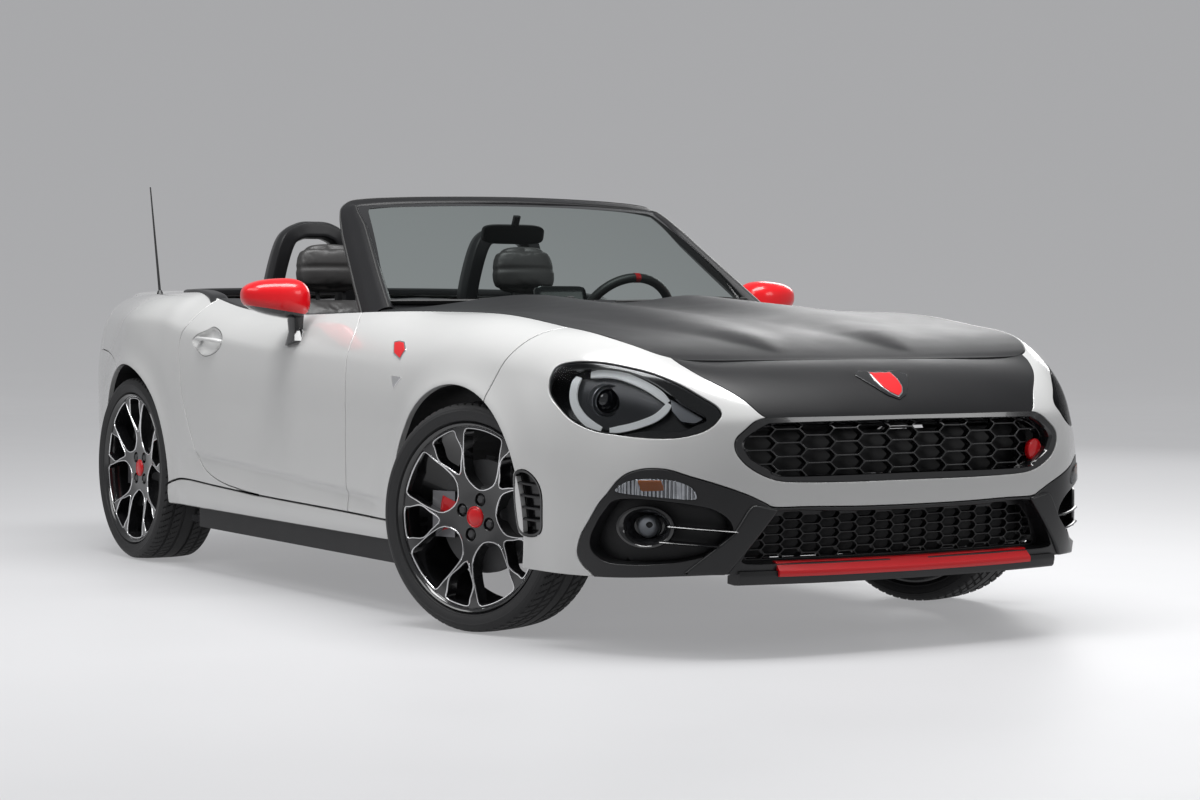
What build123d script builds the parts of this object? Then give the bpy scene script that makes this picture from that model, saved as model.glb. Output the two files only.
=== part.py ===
"""Two-seat roadster with its soft top folded away, built as the separate panels and units of the real car.

Millimetres. +Z is up, the car faces -Y and its right side is -X. The origin is on the ground,
midway between the axles. Body panels are lofts through upright sections; each section is three arcs
that run from the sill crease (point 1) over the widest line (3) and the shoulder crease (5) to the top edge (7).
"""

import os
from math import cos, radians, sin

from build123d import *

# ---- driving dimensions -------------------------------------------------------------------------
LENGTH = 4054.0
WHEELBASE = 2310.0
FRONT_AXLE_Y = -WHEELBASE / 2
REAR_AXLE_Y = WHEELBASE / 2
HALF_TRACK_FRONT = 748.0
HALF_TRACK_REAR = 751.5
TYRE_RADIUS = 308.0
TYRE_WIDTH = 205.0
RIM_LIP_RADIUS = 252.0
RIM_WIDTH = 190.0
AXLE_Z = TYRE_RADIUS
ARCH_RADIUS = 352.0
LINER_RADIUS = 357.0
LINER_WALL = 4.0
STEER_REST = 20.0  # the front wheels rest turned this far to the car's left
KINGPIN_INSET = 20.0  # kingpin inboard of the tyre's centre plane

SKIN = 10.0  # wall of a fixed body panel
DOOR_WALL = 92.0  # whole door at its sill, skin to trim
DOOR_TOP_WALL = 60.0
LID_WALL = 22.0
SHUT_GAP = 6.0  # gap round a door
LID_GAP = 4.0  # gap round a lid
TOUCH = 0.3  # running gap at a seat, stop or hub

DOOR_FRONT_Y = -500.0
DOOR_REAR_Y = 715.0
BUMPER_SPLIT_Y = -1440.0
TAIL_SPLIT_Y = 1600.0
NOSE_EDGE_Y = -1783.0
BONNET_REAR_Y = -600.0  # on the centre line; the corners reach further back
BONNET_CORNER = (674.0, -430.0)
WELL_REAR_Y = 1110.0
FLOOR_Z = 150.0
FLOOR_TOP = 172.0
SILL_BOTTOM_Z = 213.0
FIREWALL_Y = -640.0
BULKHEAD_Y = 800.0
WALL = 20.0  # firewall and bulkhead
CABIN_HALF = 690.0
INNER_SILL_X = 788.0
SHELF_Z = 780.0
BOOT_FLOOR_Z = 420.0
COWL_Z = (838.0, 856.0)
TOWING_EYE = (449.0, -1940.0, 496.0)  # mouth of the screwed socket behind the grille
EYE_WAY = 30.0  # radius of the round way to it through the grille
EYE_RADIUS, EYE_DEPTH = 8.0, 60.0
SEAT_X = 370.0  # the driver sits on the left

# ---- body sections ------------------------------------------------------------------------------
# Each row is an upright plane through the panel's top edge at (x, y), which looks outboard at "turn"
# degrees from straight ahead. d is the distance outboard of that edge.
# columns: x, y, turn, z7, d5, z5, d3, z3, d1, z1, bow of arc 5-7, bow of arc 3-5, bow of arc 1-3
NOSE_ROWS = [
    (0, NOSE_EDGE_Y, 0, 734, 222, 592, 240, 430, 230, 207, 24, 4, 4),
    (260, NOSE_EDGE_Y, 2, 733, 216, 592, 232, 430, 222, 208, 24, 4, 4),
    (480, NOSE_EDGE_Y, 8, 732, 192, 592, 208, 430, 197, 210, 24, 4, 4),
    (580, -1768, 22, 748, 138, 592, 156, 430, 145, 204, 24, 5, 4),
    (640, -1690, 45, 777, 118, 605, 148, 430, 138, 196, 24, 6, 5),
    (668, -1590, 66, 799, 135, 645, 158, 440, 148, 195, 26, 7, 5),
    (675, -1510, 90, 810, 140, 680, 175, 500, 160, 198, 28, 8, 5),
    (678, BUMPER_SPLIT_Y, 90, 817, 144, 688, 177, 505, 162, 205, 30, 8, 5),
]
FENDER_ROWS = [
    (678, BUMPER_SPLIT_Y, 90, 817, 144, 688, 177, 505, 162, 205, 30, 8, 5),
    (692, FRONT_AXLE_Y, 90, 847, 160, 700, 177, 530, 158, 262, 32, 7, 5),
    (702, -800, 90, 853, 148, 703, 157, 540, 146, 268, 28, 6, 4),
    (742, DOOR_FRONT_Y, 90, 851, 104, 715, 112, 545, 106, 275, 16, 5, 3),
]
DOOR_ROWS = [
    (742, DOOR_FRONT_Y + SHUT_GAP, 90, 851, 104, 715, 112, 545, 106, 275, 16, 5, 3),
    (762, 100, 90, 838, 85, 735, 90, 550, 90, 284, 10, 4, 3),
    (755, 430, 90, 856, 98, 760, 106, 555, 98, 293, 11, 4, 3),
    (737, DOOR_REAR_Y - SHUT_GAP, 90, 893, 121, 785, 129, 560, 118, 300, 14, 4, 3),
]
QUARTER_ROWS = [
    (737, DOOR_REAR_Y, 90, 893, 121, 785, 129, 560, 118, 300, 14, 4, 3),
    (717, 860, 90, 907, 141, 806, 152, 560, 138, 270, 22, 5, 3),
    (700, REAR_AXLE_Y, 90, 900, 156, 812, 170, 560, 150, 240, 28, 6, 4),
    (625, TAIL_SPLIT_Y, 90, 893, 130, 800, 158, 560, 135, 235, 24, 8, 5),
]
TAIL_ROWS = [
    (625, TAIL_SPLIT_Y, 90, 893, 130, 800, 158, 560, 135, 235, 24, 8, 5),
    (590, 1740, 118, 893, 112, 785, 132, 560, 118, 238, 18, 8, 5),
    (540, 1850, 145, 903, 90, 780, 110, 560, 100, 240, 10, 8, 5),
    (400, 1905, 168, 911, 84, 780, 104, 560, 98, 240, 6, 8, 5),
    (0, 1930, 180, 916, 75, 780, 97, 560, 92, 240, 6, 8, 5),
]
# bonnet, columns: y, half width, edge z, centre z, height of the two power bulges
BONNET_ROWS = [
    (NOSE_EDGE_Y, 480, 732, 734, 0),
    (-1768, 580, 748, 743, 2),
    (-1690, 640, 777, 772, 6),
    (-1590, 668, 799, 797, 12),
    (-1440, 678, 817, 823, 18),
    (FRONT_AXLE_Y, 692, 847, 857, 22),
    (-800, 702, 853, 876, 18),
    (-560, 735, 852, 888, 12),
    (-400, 742, 849, 898, 8),
]
BULGE_OUTER, BULGE_CREST, BULGE_INNER = 0.68, 0.50, 0.34  # of the bonnet's half width
# tail deck and boot lid, columns: y, half width, edge z, centre z
DECK_ROWS = [
    (1100, 705, 902, 914),
    (REAR_AXLE_Y, 700, 900, 913),
    (TAIL_SPLIT_Y, 625, 893, 908),
    (1740, 590, 893, 909),
    (1850, 540, 903, 913),
    (1905, 400, 911, 915),
    (1945, 380, 914, 917),
]
BOOT_EDGE = [(560, 1190), (548, 1600), (505, 1770), (430, 1845), (300, 1878)]  # left half
# outlines seen from in front, in X and Z
GRILLE_HALF = [(0, 597), (255, 597), (431, 597), (459, 588), (488, 568), (514, 548), (518, 528), (512, 503), (482, 475),
               (433, 450), (371, 438), (212, 434), (0, 434)]
FASCIA_HALF = [(0, 369), (158, 370), (320, 374), (413, 375), (441, 386), (489, 408), (560, 434), (618, 454), (657, 471),
               (696, 472), (725, 460), (744, 439), (759, 407), (772, 378), (785, 331), (793, 296), (795, 254), (787, 224),
               (771, 190), (771, 120), (0, 120)]
INTAKE_HALF = [(0, 357), (200, 359), (409, 364), (450, 312), (492, 256), (478, 240), (0, 240)]
VENT = [(780, 285), (772, 330), (760, 366), (740, 392), (690, 396), (600, 380), (560, 366), (530, 340), (530, 300),
        (560, 270), (640, 245), (740, 240), (770, 255)]
LAMP = [(807, 675), (800, 695), (788, 716), (773, 727), (751, 732), (718, 730), (680, 719), (643, 704), (602, 678),
        (569, 649), (544, 627), (544, 607), (547, 597), (569, 575), (599, 559), (641, 548), (690, 547), (733, 553),
        (770, 556), (797, 586), (809, 619), (812, 648)]
TAIL_LAMP = [(470, 700), (500, 772), (600, 790), (700, 770), (740, 730), (700, 680), (560, 668)]
DIFFUSER = [(-560, 180), (-500, 330), (500, 330), (560, 180)]
# outline of a door seen from the side, in Y and Z
DOOR_SIDE = [(DOOR_FRONT_Y + SHUT_GAP, 200), (DOOR_FRONT_Y + SHUT_GAP, 1000), (DOOR_REAR_Y - SHUT_GAP, 1000),
             (DOOR_REAR_Y - SHUT_GAP, 700), (704, 640), (672, 556), (594, 420), (524, 347), (480, 200)]
PIPE_X, PIPE_Z, PIPE_RADIUS = (-435, -350, 350, 435), 270, 34

OUT = "parts"


# ---- section helpers ----------------------------------------------------------------------------
def smooth(rows, steps):
    """The rows with more between them, each column on a Catmull-Rom curve."""
    dense = []
    for i in range(len(rows) - 1):
        b, c = rows[i], rows[i + 1]
        a = rows[i - 1] if i else [2 * p - q for p, q in zip(b, c)]
        d = rows[i + 2] if i + 2 < len(rows) else [2 * q - p for p, q in zip(b, c)]
        for s in range(steps):
            t = s / steps
            dense.append([
                q + 0.5 * t * (r - p + t * (2 * p - 5 * q + 4 * r - e + t * (3 * (q - r) + e - p)))
                for p, q, r, e in zip(a, b, c, d)
            ])
    dense.append(list(rows[-1]))
    return dense


def whole(rows, full_turn):
    """The rows of one side and their mirror image, in order across the car."""
    other = [(-r[0], r[1], full_turn - r[2], *r[3:]) for r in rows]
    return other[:0:-1] + list(rows) if full_turn == 0 else list(rows) + other[-2::-1]


def arc_middle(p, q, bow):
    """The middle point of an arc from p to q that bows outboard."""
    dx, dz = q[0] - p[0], q[1] - p[1]
    length = (dx * dx + dz * dz) ** 0.5
    return ((p[0] + q[0]) / 2 + bow * dz / length, (p[1] + q[1]) / 2 - bow * dx / length)


def outline(row):
    """Points 1 to 7 of a section as (d, z), from the sill crease up."""
    z7, d5, z5, d3, z3, d1, z1, bow7, bow5, bow3 = row[3:]
    p1, p3, p5, p7 = (d1, z1), (d3, z3), (d5, z5), (0, z7)
    return [p1, arc_middle(p1, p3, bow3), p3, arc_middle(p3, p5, bow5), p5, arc_middle(p5, p7, bow7), p7]


def inset(points, depth):
    """The points moved inward by depth; the ends slide along the panel's level and upright edges."""
    if not depth:
        return points
    moved = []
    for i, (d, z) in enumerate(points):
        before, after = points[max(i - 1, 0)], points[min(i + 1, len(points) - 1)]
        td, tz = after[0] - before[0], after[1] - before[1]
        size = (td * td + tz * tz) ** 0.5
        if i == 0:
            moved.append((d - depth * size / tz, z))
        elif i == len(points) - 1:
            moved.append((d, z + depth * size / td))
        else:
            moved.append((d - depth * tz / size, z + depth * td / size))
    return moved


def placed(row, point):
    """A section point in the car's frame."""
    x, y, turn = row[:3]
    d, z = point
    return Vector(x + d * sin(radians(turn)), y - d * cos(radians(turn)), z)


def ring(row, outer, inner):
    """The closed wire of one section, out along the outer arcs and back along the inner ones."""
    a = [placed(row, p) for p in outer]
    b = [placed(row, p) for p in reversed(inner)]
    edges = [ThreePointArc(a[i], a[i + 1], a[i + 2]) for i in range(0, len(a) - 1, 2)]
    edges.append(Line(a[-1], b[0]))
    edges += [ThreePointArc(b[i], b[i + 1], b[i + 2]) for i in range(0, len(b) - 1, 2)]
    edges.append(Line(b[-1], a[0]))
    return Wire([e.edge() for e in edges])


def skin(rows, wall, depth=0.0):
    """A panel: a loft of the rings between two depths under the body's surface."""
    wires = []
    for row in rows:
        points = outline(row)
        wires.append(ring(row, inset(points, depth), inset(points, depth + wall)))
    return Solid.make_loft(wires, ruled=True)


NOSE = smooth(whole(NOSE_ROWS, 0), 2)
FENDER = smooth(FENDER_ROWS, 2)
DOOR = smooth(DOOR_ROWS, 2)
QUARTER = smooth(QUARTER_ROWS, 2)
TAIL = smooth(whole(TAIL_ROWS, 360), 2)
FRONT_SIDE = NOSE[-7:] + FENDER[1:]


def outside(rows):
    """Everything from just under a panel's inner face outward, to trim what meets it."""
    return skin(rows, 100 + SKIN + TOUCH, -100)


def thick_door(rows):
    """The whole door: the skin's section, with its inner face shifted straight inboard."""
    wires = []
    for row in rows:
        points = outline(row)
        walls = [DOOR_WALL + (DOOR_TOP_WALL - DOOR_WALL) * i / 6 for i in range(7)]
        wires.append(ring(row, points, [(d - w, z) for (d, z), w in zip(points, walls)]))
    return Solid.make_loft(wires, ruled=True)


def crowned(rows, above, below, bulges=False):
    """A crowned lid between two heights above its surface, lofted along Y."""
    wires = []
    for row in rows:
        y, half, edge, centre = row[:4]

        def at(share, extra=0.0):
            return Vector(share * half, y, edge + (centre - edge) * (1 - share * share) + extra + above)

        shares = (1, BULGE_OUTER, BULGE_INNER, -BULGE_INNER, -BULGE_OUTER, -1) if bulges else (1, -1)
        crests = {1: row[4], 3: row[4]} if bulges else {}
        edges = []
        for i in range(len(shares) - 1):
            p, q = shares[i], shares[i + 1]
            if i in crests and crests[i] > 0.5:
                edges.append(ThreePointArc(at(p), at((p + q) / 2, crests[i]), at(q)))
            elif abs(centre - edge) > 0.5:
                edges.append(ThreePointArc(at(p), at((p + q) / 2), at(q)))
            else:
                edges.append(Line(at(p), at(q)))
        low = [Vector(s * half, y, edge + (centre - edge) * (1 - s * s) - below) for s in (-1, 0, 1)]
        edges.append(Line(at(-1), low[0]))
        edges.append(ThreePointArc(*low) if abs(centre - edge) > 0.5 else Line(low[0], low[2]))
        edges.append(Line(low[2], at(1)))
        wires.append(Wire([e.edge() for e in edges]))
    return Solid.make_loft(wires, ruled=True)


def box(x0, x1, y0, y1, z0, z1):
    """A box between two corners."""
    return Pos((x0 + x1) / 2, (y0 + y1) / 2, (z0 + z1) / 2) * Box(abs(x1 - x0), abs(y1 - y0), abs(z1 - z0))


def across(radius, x0, x1, y, z):
    """A cylinder along X between x0 and x1."""
    return Pos((x0 + x1) / 2, y, z) * Rot(0, 90, 0) * Cylinder(radius, abs(x1 - x0))


def both(shape):
    """The solids of a left-hand shape and their mirror image."""
    return Compound([*shape.solids(), *mirror(shape, Plane.YZ).solids()])


def prism_y(points, y0, y1):
    """An outline in X and Z, extruded along +Y."""
    return extrude(make_face(Polyline(*[(x, y0, z) for x, z in points], close=True)), amount=y1 - y0, dir=(0, 1, 0))


def prism_x(points, x0, x1):
    """An outline in Y and Z, extruded along +X."""
    return extrude(make_face(Polyline(*[(x0, y, z) for y, z in points], close=True)), amount=x1 - x0, dir=(1, 0, 0))


def prism_z(points, z0, z1):
    """An outline in X and Y, extruded along +Z."""
    return extrude(make_face(Polyline(*[(x, y, z0) for x, y in points], close=True)), amount=z1 - z0, dir=(0, 0, 1))


def grown(points, grow):
    """An outline with each edge moved outward by grow."""
    n = len(points)
    area = sum(points[i - 1][0] * points[i][1] - points[i][0] * points[i - 1][1] for i in range(n))
    grow = grow if area > 0 else -grow
    moved = []
    for i in range(n):
        normals = []
        for (x0, z0), (x1, z1) in ((points[i - 1], points[i]), (points[i], points[(i + 1) % n])):
            size = ((x1 - x0) ** 2 + (z1 - z0) ** 2) ** 0.5
            normals.append(((z1 - z0) / size, (x0 - x1) / size))
        (ax, az), (bx, bz) = normals
        share = grow / (1 + ax * bx + az * bz)
        moved.append((points[i][0] + share * (ax + bx), points[i][1] + share * (az + bz)))
    return moved


def flipped(points):
    """The outline on the other side of the car."""
    return [(-x, z) for x, z in points]


def mirrored(half):
    """A whole outline from its left half, which starts and ends on the centre line."""
    return list(half) + [(-x, z) for x, z in half[-2:0:-1]]


GRILLE, FASCIA, INTAKE = mirrored(GRILLE_HALF), mirrored(FASCIA_HALF), mirrored(INTAKE_HALF)


def save(name, shape):
    """Writes one node."""
    solids = [Solid(s.wrapped) for s in shape.solids()]
    export_step(solids[0] if len(solids) == 1 else Compound(children=solids), os.path.join(OUT, name + ".step"))


# ---- wheels -------------------------------------------------------------------------------------
# A wheel is modelled about its own centre plane at x = 0, with its axis outward along +X.
HUB_FACE = 12.0  # where the brake disc's hat meets the knuckle's hub, outboard of the centre plane
DISC_RADIUS = 150.0
DISC_WALL = 16.0
HAT_RADIUS = 72.0
SPOKE_BACK = 42.0
SPOKE_FACE = 82.0
SPOKE_WALL = 34.0
HUB_RADIUS = 78.0
WINDOWS = 5
WIDE_WINDOW = [(-26, 104), (0, 88), (26, 104), (72, 212), (-72, 212)]
NARROW_WINDOW = [(0, 122), (26, 150), (42, 213), (-42, 213), (-26, 150)]


def tyre():
    """Low tyre with rounded shoulders, round the rim's lips."""
    half, shoulder, bead = TYRE_WIDTH / 2, 24.0, RIM_LIP_RADIUS - 10
    seat = RIM_WIDTH / 2 - 8
    side = [(seat, bead), (seat, RIM_LIP_RADIUS + 0.4), (half - 4, RIM_LIP_RADIUS + 5), (half, TYRE_RADIUS - shoulder)]
    top = TYRE_RADIUS
    line = Polyline(*side)
    line += ThreePointArc(side[-1], (half - 7, top - 7), (half - shoulder, top))
    line += Line((half - shoulder, top), (-half + shoulder, top))
    line += ThreePointArc((-half + shoulder, top), (-half + 7, top - 7), (-half, top - shoulder))
    line += Polyline(*[(-x, r) for x, r in reversed(side)])
    line += Line((-seat, bead), (seat, bead))
    return revolve(make_face(line), Axis.X)


def rim():
    """Barrel, face with five wide and five narrow windows, hub and brake disc."""
    lip, half = RIM_LIP_RADIUS, RIM_WIDTH / 2
    floor, bead, seat = lip - 30, lip - 10 - TOUCH, RIM_WIDTH / 2 - 8 + TOUCH
    barrel = [
        (-half, lip), (-seat, lip), (-seat, bead), (seat, bead), (seat, lip), (half, lip),
        (half, lip - 8), (half - 14, floor + 8), (half - 30, floor),
        (-half + 30, floor), (-half + 14, floor + 8), (-half, lip - 8),
    ]
    shape = revolve(make_face(Polyline(*barrel, close=True)), Axis.X)
    rim_face = [
        (SPOKE_BACK, 0), (SPOKE_FACE, 0), (SPOKE_FACE, HUB_RADIUS - 20), (SPOKE_FACE + 4, floor + 6),
        (SPOKE_FACE + 4 - SPOKE_WALL, floor + 6), (SPOKE_BACK, HUB_RADIUS),
    ]
    face = revolve(make_face(Polyline(*rim_face, close=True)), Axis.X)
    for k in range(WINDOWS):
        for turn, points in ((0, WIDE_WINDOW), (36, NARROW_WINDOW)):
            face -= Rot(72 * k + turn, 0, 0) * prism_x(points, HUB_FACE, SPOKE_FACE + 40)
    hat = across(HAT_RADIUS, HUB_FACE, SPOKE_BACK + 2, 0, 0)
    disc = across(DISC_RADIUS, HUB_FACE, HUB_FACE + DISC_WALL, 0, 0)
    return shape + face + hat + disc


def knuckle():
    """Upright with its brake caliper behind the axle."""
    u = HUB_FACE - TOUCH
    body = across(60, u - 70, u, 0, 0)
    body += box(u - 60, u - 20, -30, 30, -106, 132)
    body += box(u - 60, u - 20, -24, 24, 100, 140)
    caliper = box(u - 24, SPOKE_BACK - 3, 96, 176, -62, 62) & across(196, u - 30, u + 60, 0, 0)
    caliper -= across(DISC_RADIUS + 6, HUB_FACE - 4, HUB_FACE + DISC_WALL + 4, 0, 0)
    return body + caliper + box(u - 45, u - 15, 40, 120, -25, 25)


def at_wheel(shape, side, front):
    """A wheel's or knuckle's place: side 1 is left; the front ones rest steered."""
    if not front:
        moved = Pos(HALF_TRACK_REAR, REAR_AXLE_Y, AXLE_Z) * shape
        return moved if side > 0 else mirror(moved, Plane.YZ)
    moved = Pos(KINGPIN_INSET, 0, 0) * shape
    if side < 0:
        moved = mirror(moved, Plane.YZ)
    return Pos(side * (HALF_TRACK_FRONT - KINGPIN_INSET), FRONT_AXLE_Y, AXLE_Z) * Rot(0, 0, STEER_REST) * moved


def wheels():
    for side, hand in ((1, "left"), (-1, "right")):
        for front, end in ((True, "front"), (False, "rear")):
            save(f"tyre_{end}_{hand}", at_wheel(tyre(), side, front))
            save(f"wheel_{end}_{hand}", at_wheel(rim(), side, front))
        save(f"knuckle_{hand}", at_wheel(knuckle(), side, True))


# ---- body panels --------------------------------------------------------------------------------
def arch(y, radius=ARCH_RADIUS):
    """The cutter of a wheel opening on the left side."""
    return across(radius, 300, 1100, y, AXLE_Z) + box(300, 1100, y - radius, y + radius, -50, AXLE_Z - 150)


def framed(rows, points, depth, wall, mesh_wall, columns, lines, pitch_x, pitch_z, y0, y1):
    """A grille inside its opening: a surround and, at its back, rows of stretched hexagonal holes."""
    unit = skin(rows, wall, depth) & prism_y(grown(points, -0.5), y0, y1)
    unit -= skin(rows, wall - mesh_wall + 30, depth - 30) & prism_y(grown(points, -9), y0, y1)
    w, h = pitch_x * 0.60, pitch_z * 0.40
    cell = [(-w, 0), (-w * 0.62, h), (w * 0.62, h), (w, 0), (w * 0.62, -h), (-w * 0.62, -h)]
    z0 = (max(p[1] for p in points) + min(p[1] for p in points)) / 2
    holes = []
    for i in range(columns):
        for j in range(lines):
            cx = (i - (columns - 1) / 2) * pitch_x
            cz = z0 + (j - (lines - 1) / 2 + (0.25 if i % 2 else -0.25)) * pitch_z
            holes.append(prism_y([(cx + a, cz + b) for a, b in cell], y0, y1))
    return unit - (Compound(holes) & prism_y(grown(points, -9), y0, y1))


def upper_grille():
    """The upper grille, with a round way through its mesh to the towing eye."""
    x, _, z = TOWING_EYE
    unit = framed(NOSE, GRILLE, 6, 40, 10, 11, 4, 88, 38, -2100, -1850)
    return unit - Pos(x, -1950, z) * Rot(90, 0, 0) * Cylinder(EYE_WAY, 300)


def front_bumper():
    whole_nose = skin(NOSE, SKIN)
    cutters = [arch(FRONT_AXLE_Y), mirror(arch(FRONT_AXLE_Y), Plane.YZ)]
    cutters += [prism_y(LAMP, -2100, -1400), prism_y(flipped(LAMP), -2100, -1400)]
    cutters += [prism_y(GRILLE, -2100, -1800), prism_y(FASCIA, -2100, -1600)]
    for cutter in cutters:
        whole_nose -= cutter
    return whole_nose


def lower_fascia():
    """Black panel in the bumper's lower opening, with openings for the intake and the corner vents."""
    panel = skin(NOSE, SKIN) & prism_y(grown(FASCIA, -0.5), -2100, -1600)
    for points in (VENT, flipped(VENT), INTAKE):
        panel -= prism_y(points, -2100, -1500)
    return panel


def splitter():
    """Lip and splitter under the front bumper."""
    wires = []
    for row in NOSE[3:-3]:
        d, z = row[8], row[9]
        line = [(d - 50, z - TOUCH), (d - 2, z - TOUCH), (d + 13, z - 12), (d + 9, z - 38), (d - 50, z - 50)]
        wires.append(Wire.make_polygon([placed(row, p) for p in line]))
    return Solid.make_loft(wires, ruled=True)


def lid_edges(rows, gap):
    """The (x, y) of the panels' top edges, moved inward by gap."""
    return [(r[0] - gap * sin(radians(r[2])), r[1] + gap * cos(radians(r[2]))) for r in rows]


def bonnet_outline(gap):
    side = lid_edges(NOSE[len(NOSE) // 2 + 1 :] + FENDER[1:-1], gap)
    corner_x, corner_y = BONNET_CORNER
    left = side + [(FENDER[-1][0] - gap - 4, DOOR_FRONT_Y - gap - 2), (corner_x, DOOR_FRONT_Y - gap - 2)]
    for k in range(6):
        x = corner_x * (1 - k / 6)
        left.append((x, BONNET_REAR_Y + (corner_y - BONNET_REAR_Y) * (x / corner_x) ** 2))
    return left + [(0, BONNET_REAR_Y)] + [(-x, y) for x, y in reversed(left)]


def bonnet():
    return crowned(BONNET_ROWS, 0, LID_WALL, True) & prism_z(bonnet_outline(LID_GAP), 650, 1000)


def boot_outline(gap):
    left = [(x + gap, y + gap * (-1 if y < 1200 else 1 if y > 1800 else 0)) for x, y in BOOT_EDGE]
    return left + [(-x, y) for x, y in reversed(left)]


def boot_lid():
    return crowned(DECK_ROWS, 0, LID_WALL) & prism_z(boot_outline(0), 700, 1000)


def rear_deck():
    edge = [(702 - TOUCH, WELL_REAR_Y)] + lid_edges([r for r in QUARTER if r[1] > WELL_REAR_Y + 5], TOUCH)
    edge += lid_edges(TAIL[1 : len(TAIL) // 2], TOUCH)
    edge += [(-x, y) for x, y in reversed(edge)]
    plate = crowned(DECK_ROWS, 0, SKIN) & prism_z(edge, 700, 1000)
    return plate - prism_z(boot_outline(LID_GAP), 700, 1000)


def rear_bumper():
    tail = skin(TAIL, SKIN)
    for cutter in (TAIL_LAMP, flipped(TAIL_LAMP), DIFFUSER):
        tail -= prism_y(cutter, 1640, 2100)
    return tail


def diffuser():
    panel = skin(TAIL, 12, 4) & prism_y(grown(DIFFUSER, -0.5), 1700, 2100)
    for x in PIPE_X:
        panel -= Pos(x, 1950, PIPE_Z) * Rot(90, 0, 0) * Cylinder(PIPE_RADIUS + 5, 300)
    return panel


def side_sill():
    wires = []
    for y, top in ((-800, 262), (DOOR_FRONT_Y, 268), (100, 277), (620, 290)):
        wires.append(Wire.make_polygon([(836, y, SILL_BOTTOM_Z), (851, y, top), (INNER_SILL_X, y, top), (INNER_SILL_X, y, SILL_BOTTOM_Z)]))
    return Solid.make_loft(wires, ruled=True)


def body_panels():
    save("front_bumper", front_bumper())
    save("headlamps", both(skin(NOSE[14:], 50, 3) & prism_y(grown(LAMP, -0.5), -2100, -1500)))
    save("lower_fascia", lower_fascia())
    vent = skin(NOSE[14:], 34, 6) & prism_y(grown(VENT, -0.5), -2100, -1520)
    save("corner_vents", both(vent - arch(FRONT_AXLE_Y, LINER_RADIUS + LINER_WALL + 1)))
    save("upper_grille", upper_grille())
    save("lower_grille", framed(NOSE, INTAKE, 6, 40, 10, 11, 4, 84, 34, -2100, -1850))
    save("splitter", splitter())
    save("front_fenders", both(skin(FENDER, SKIN) - arch(FRONT_AXLE_Y)))
    quarter = skin(DOOR[-4:-1] + QUARTER, SKIN) - prism_x(grown(DOOR_SIDE, SHUT_GAP), 300, 1100)
    save("rear_quarters", both(quarter - arch(REAR_AXLE_Y)))
    save("rear_bumper", rear_bumper())
    save("tail_lamps", both(skin(TAIL[: len(TAIL) // 2 + 1], 40, 3) & prism_y(grown(TAIL_LAMP, -0.5), 1640, 2100)))
    save("rear_diffuser", diffuser())
    save("bonnet", bonnet())
    save("boot_lid", boot_lid())
    save("rear_deck", rear_deck())
    door = thick_door(DOOR) & prism_x(DOOR_SIDE, 300, 1100)
    save("door_left", door)
    save("door_right", mirror(door, Plane.YZ))
    glass = side_mirror() - door
    save("mirror_left", glass)
    save("mirror_right", mirror(glass, Plane.YZ))
    save("side_sills", both(side_sill()))
    save("side_skirts", both(box(INNER_SILL_X, 832, -790, 610, FLOOR_Z, SILL_BOTTOM_Z)))
    save("antenna", antenna() - rear_deck())


# ---- cabin and chassis --------------------------------------------------------------------------
def floor_pan():
    """Floor, tunnel, inner sills, firewall, posts, rear bulkhead and shelf of the tub."""
    back = BULKHEAD_Y + WALL
    tub = box(-770, 770, FIREWALL_Y, back, FLOOR_Z, FLOOR_TOP)
    tub += box(-120, 120, FIREWALL_Y, back, FLOOR_TOP, 400)
    tub += box(-CABIN_HALF, CABIN_HALF, FIREWALL_Y, FIREWALL_Y + WALL, FLOOR_TOP, 800)
    tub += box(-CABIN_HALF, CABIN_HALF, BULKHEAD_Y, back, FLOOR_TOP, SHELF_Z)
    tub += box(-CABIN_HALF, CABIN_HALF, 720, 1192, SHELF_Z - 20, SHELF_Z)
    hood = crowned(BONNET_ROWS, 60, LID_WALL + TOUCH)
    for s in (-1, 1):
        tub += box(s * 640, s * INNER_SILL_X, FIREWALL_Y, 620, FLOOR_TOP, 258)
        tub += box(s * 640, s * 735, FIREWALL_Y, DOOR_FRONT_Y - 10, 258, 820)
        tub += box(s * 640, s * 735, DOOR_REAR_Y + 10, back, 200, 860)
        tub += box(s * 585, s * 645, FIREWALL_Y, -330, 700, SHELF_Z)
        tub += box(s * 585, s * 645, -436, -330, SHELF_Z, COWL_Z[0])
        tub += box(s * 500, s * 560, FIREWALL_Y, FIREWALL_Y + WALL, 790, 856) - hood
        for z in (340, 620):
            tub += box(s * 730, s * 826, -560, DOOR_FRONT_Y + SHUT_GAP - TOUCH, z, z + 50)
    front, rear = outside(FENDER), outside(QUARTER)
    pads = box(730, 900, -630, -570, 380, 430) - front
    pads += box(730, 900, 740, 810, 500, 560) - rear
    pads += box(680, 900, 900, 1100, SHELF_Z - 20, SHELF_Z) - rear
    housing = across(LINER_RADIUS + LINER_WALL + 2, 480, 1000, REAR_AXLE_Y, AXLE_Z)
    return tub + pads + mirror(pads, Plane.YZ) - housing - mirror(housing, Plane.YZ)


def seat(x):
    cushion = fillet((Pos(x, 330, 300) * Rot(-6, 0, 0) * Box(470, 520, 130)).edges(), 30)
    back = fillet((Pos(x, 535, 600) * Rot(-14, 0, 0) * Box(460, 110, 640)).edges(), 35)
    rest = fillet((Pos(x, 612, 985) * Rot(-8, 0, 0) * Box(260, 90, 180)).edges(), 32)
    return box(x - 180, x + 180, 120, 520, FLOOR_TOP, 262) + cushion + back + rest


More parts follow.
